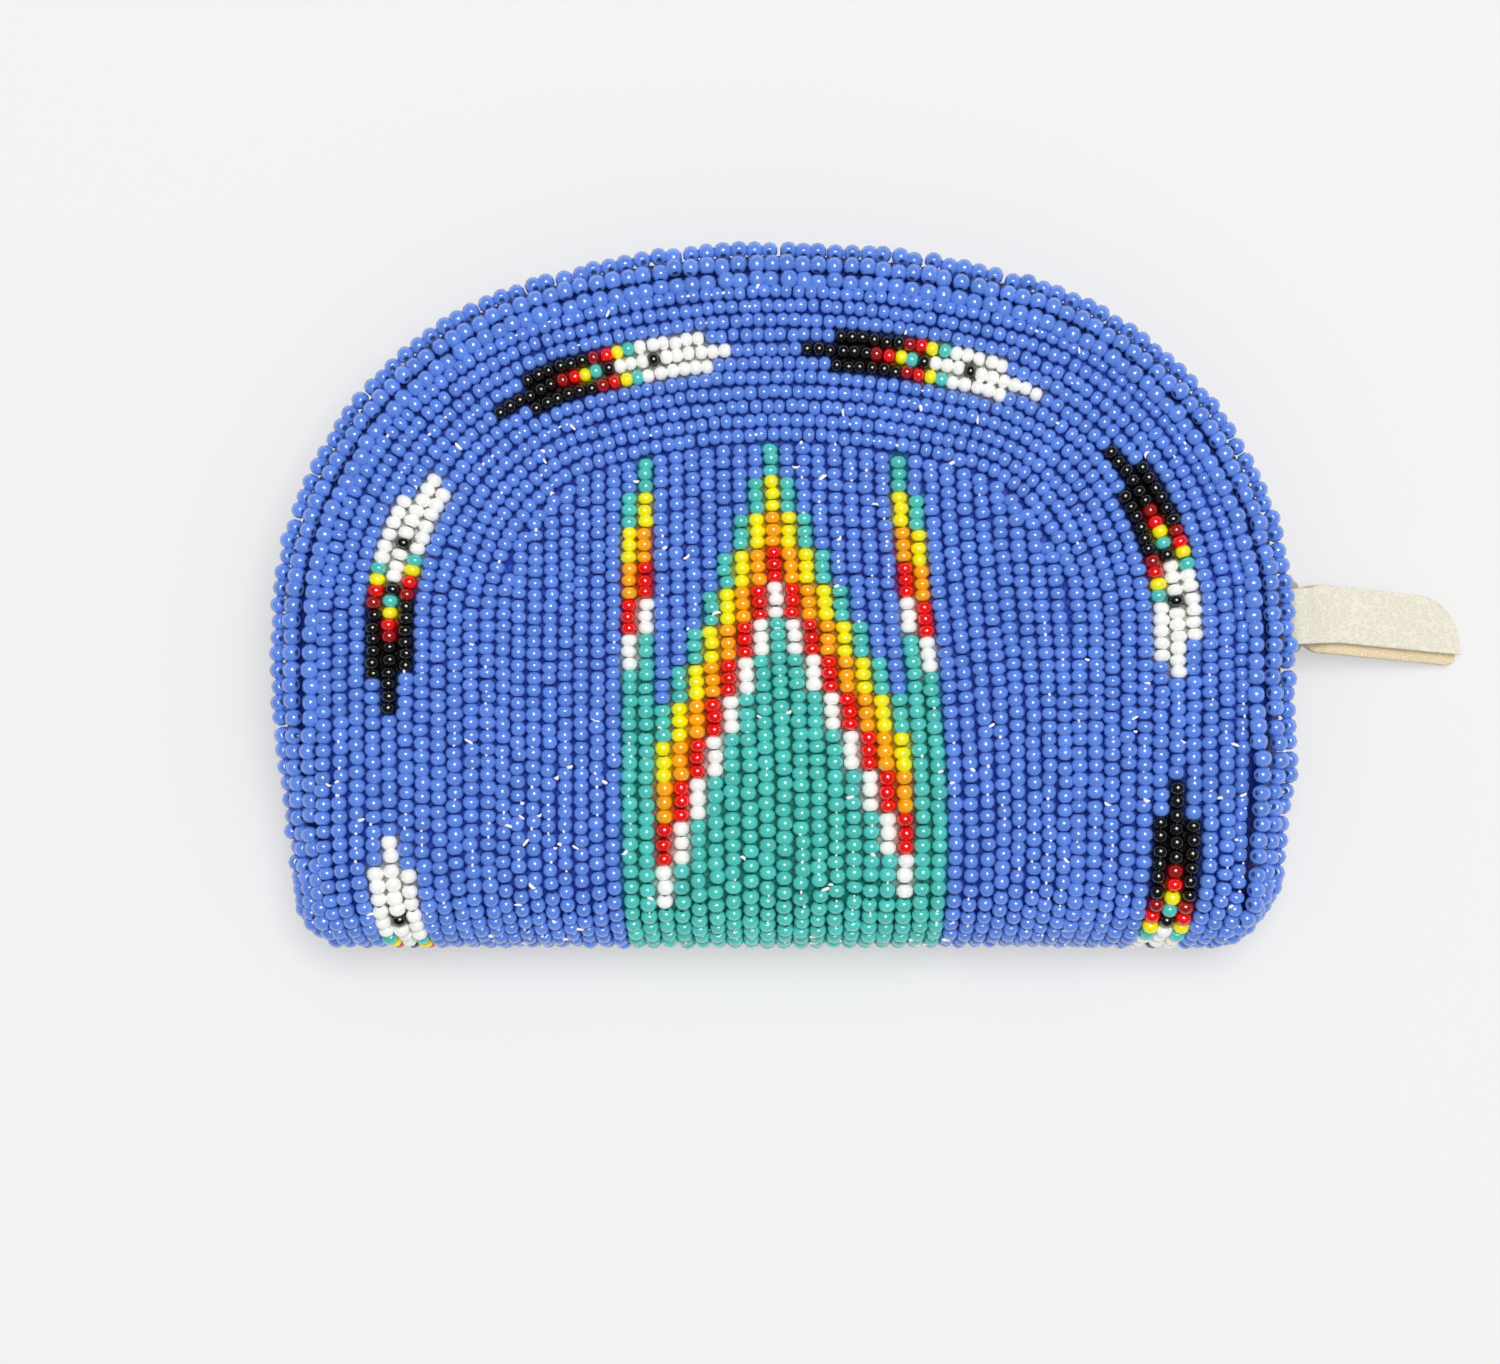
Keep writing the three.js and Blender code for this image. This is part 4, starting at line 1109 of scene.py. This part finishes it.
# camera over the purse, as for a flat lay
shot = {"height": 0.463, "x": -0.0041, "y": -0.00103, "lens": 86.8, "clip": 0.01}
camera = addObject("camera", bpy.data.cameras.new("camera"))
camera.location = (shot["x"], shot["y"], shot["height"])
camera.data.lens = shot["lens"]
camera.data.clip_start = shot["clip"]
scene.camera = camera

# light: a soft lamp high up, off to the right and the crown, in a pale room that is brightest overhead
room = {
    "horizon": 0.1, "zenith": 0.535, "domeTop": 0.8, "sheen": 0.06, "key": 14.8, "keySize": 0.75,
    "keyAt": (0.14, 0.24, 1.42), "floor": (234, 234, 234), "floorRoughness": 0.95,
    "floorGlow": (245, 245, 245), "glowShare": 0.45, "glowReach": (0.35, 1.0),
    "cove": [(0.0, -0.0001), (1.9, -0.0001), (2.1, 0.03), (2.2, 0.12), (2.24, 0.4)], "coveSides": 64,
}
world = bpy.data.worlds.new("room")
world.use_nodes = True
sky = world.node_tree
backdrop = sky.nodes["Background"].inputs
backdrop["Color"].default_value = (1, 1, 1, 1)
rays = addNode(sky, "LightPath").outputs
skyward = addNode(sky, "SeparateXYZ", {0: addNode(sky, "TexCoord").outputs["Generated"]}).outputs["Z"]
dome = ranged(sky, skyward, 0.0, room["domeTop"], room["horizon"], room["zenith"])
strength = addNode(sky, "Mix", {0: rays["Is Glossy Ray"], 2: dome, 3: room["sheen"]})
putOut(sky, backdrop, Strength=strength.outputs[0])
scene.world = world
lamp = addObject("softbox", bpy.data.lights.new("softbox", "AREA"))
lamp.data.energy = room["key"]
lamp.data.size = room["keySize"]
lamp.location = room["keyAt"]
lamp.rotation_euler = (-Vector(room["keyAt"])).to_track_quat("-Z", "Y").to_euler()

paper, tree, shader = newMaterial("paleFloor")
shader.inputs["Base Color"].default_value = linear(*room["floor"])
shader.inputs["Roughness"].default_value = room["floorRoughness"]
seen = addNode(tree, "LightPath").outputs
glow = addNode(tree, "Emission", {"Color": linear(*room["floorGlow"])})
either = calc(tree, "MAXIMUM", seen["Is Camera Ray"], seen["Is Glossy Ray"])
either = calc(tree, "MAXIMUM", either, seen["Is Transmission Ray"])
away = addNode(tree, "VectorMath", {0: ownSpace(tree)}, operation="LENGTH").outputs["Value"]
share = ranged(tree, away, *room["glowReach"], room["glowShare"])
share = calc(tree, "MULTIPLY", either, share)
blend = addNode(tree, "MixShader", {0: share, 1: shader.outputs[0], 2: glow.outputs[0]})
putOut(tree, tree.nodes["Material Output"].inputs, Surface=blend.outputs[0])
cove, sides = room["cove"], room["coveSides"]
turns = [2 * math.pi * k / sides for k in range(sides)]
covePoints = [(out * math.cos(turn), out * math.sin(turn), rise) for out, rise in cove for turn in turns]
floor = addPiece("floor", covePoints, tubeFaces(len(cove), sides, turned=True), [paper])
print("stage: camera, lamp and floor")
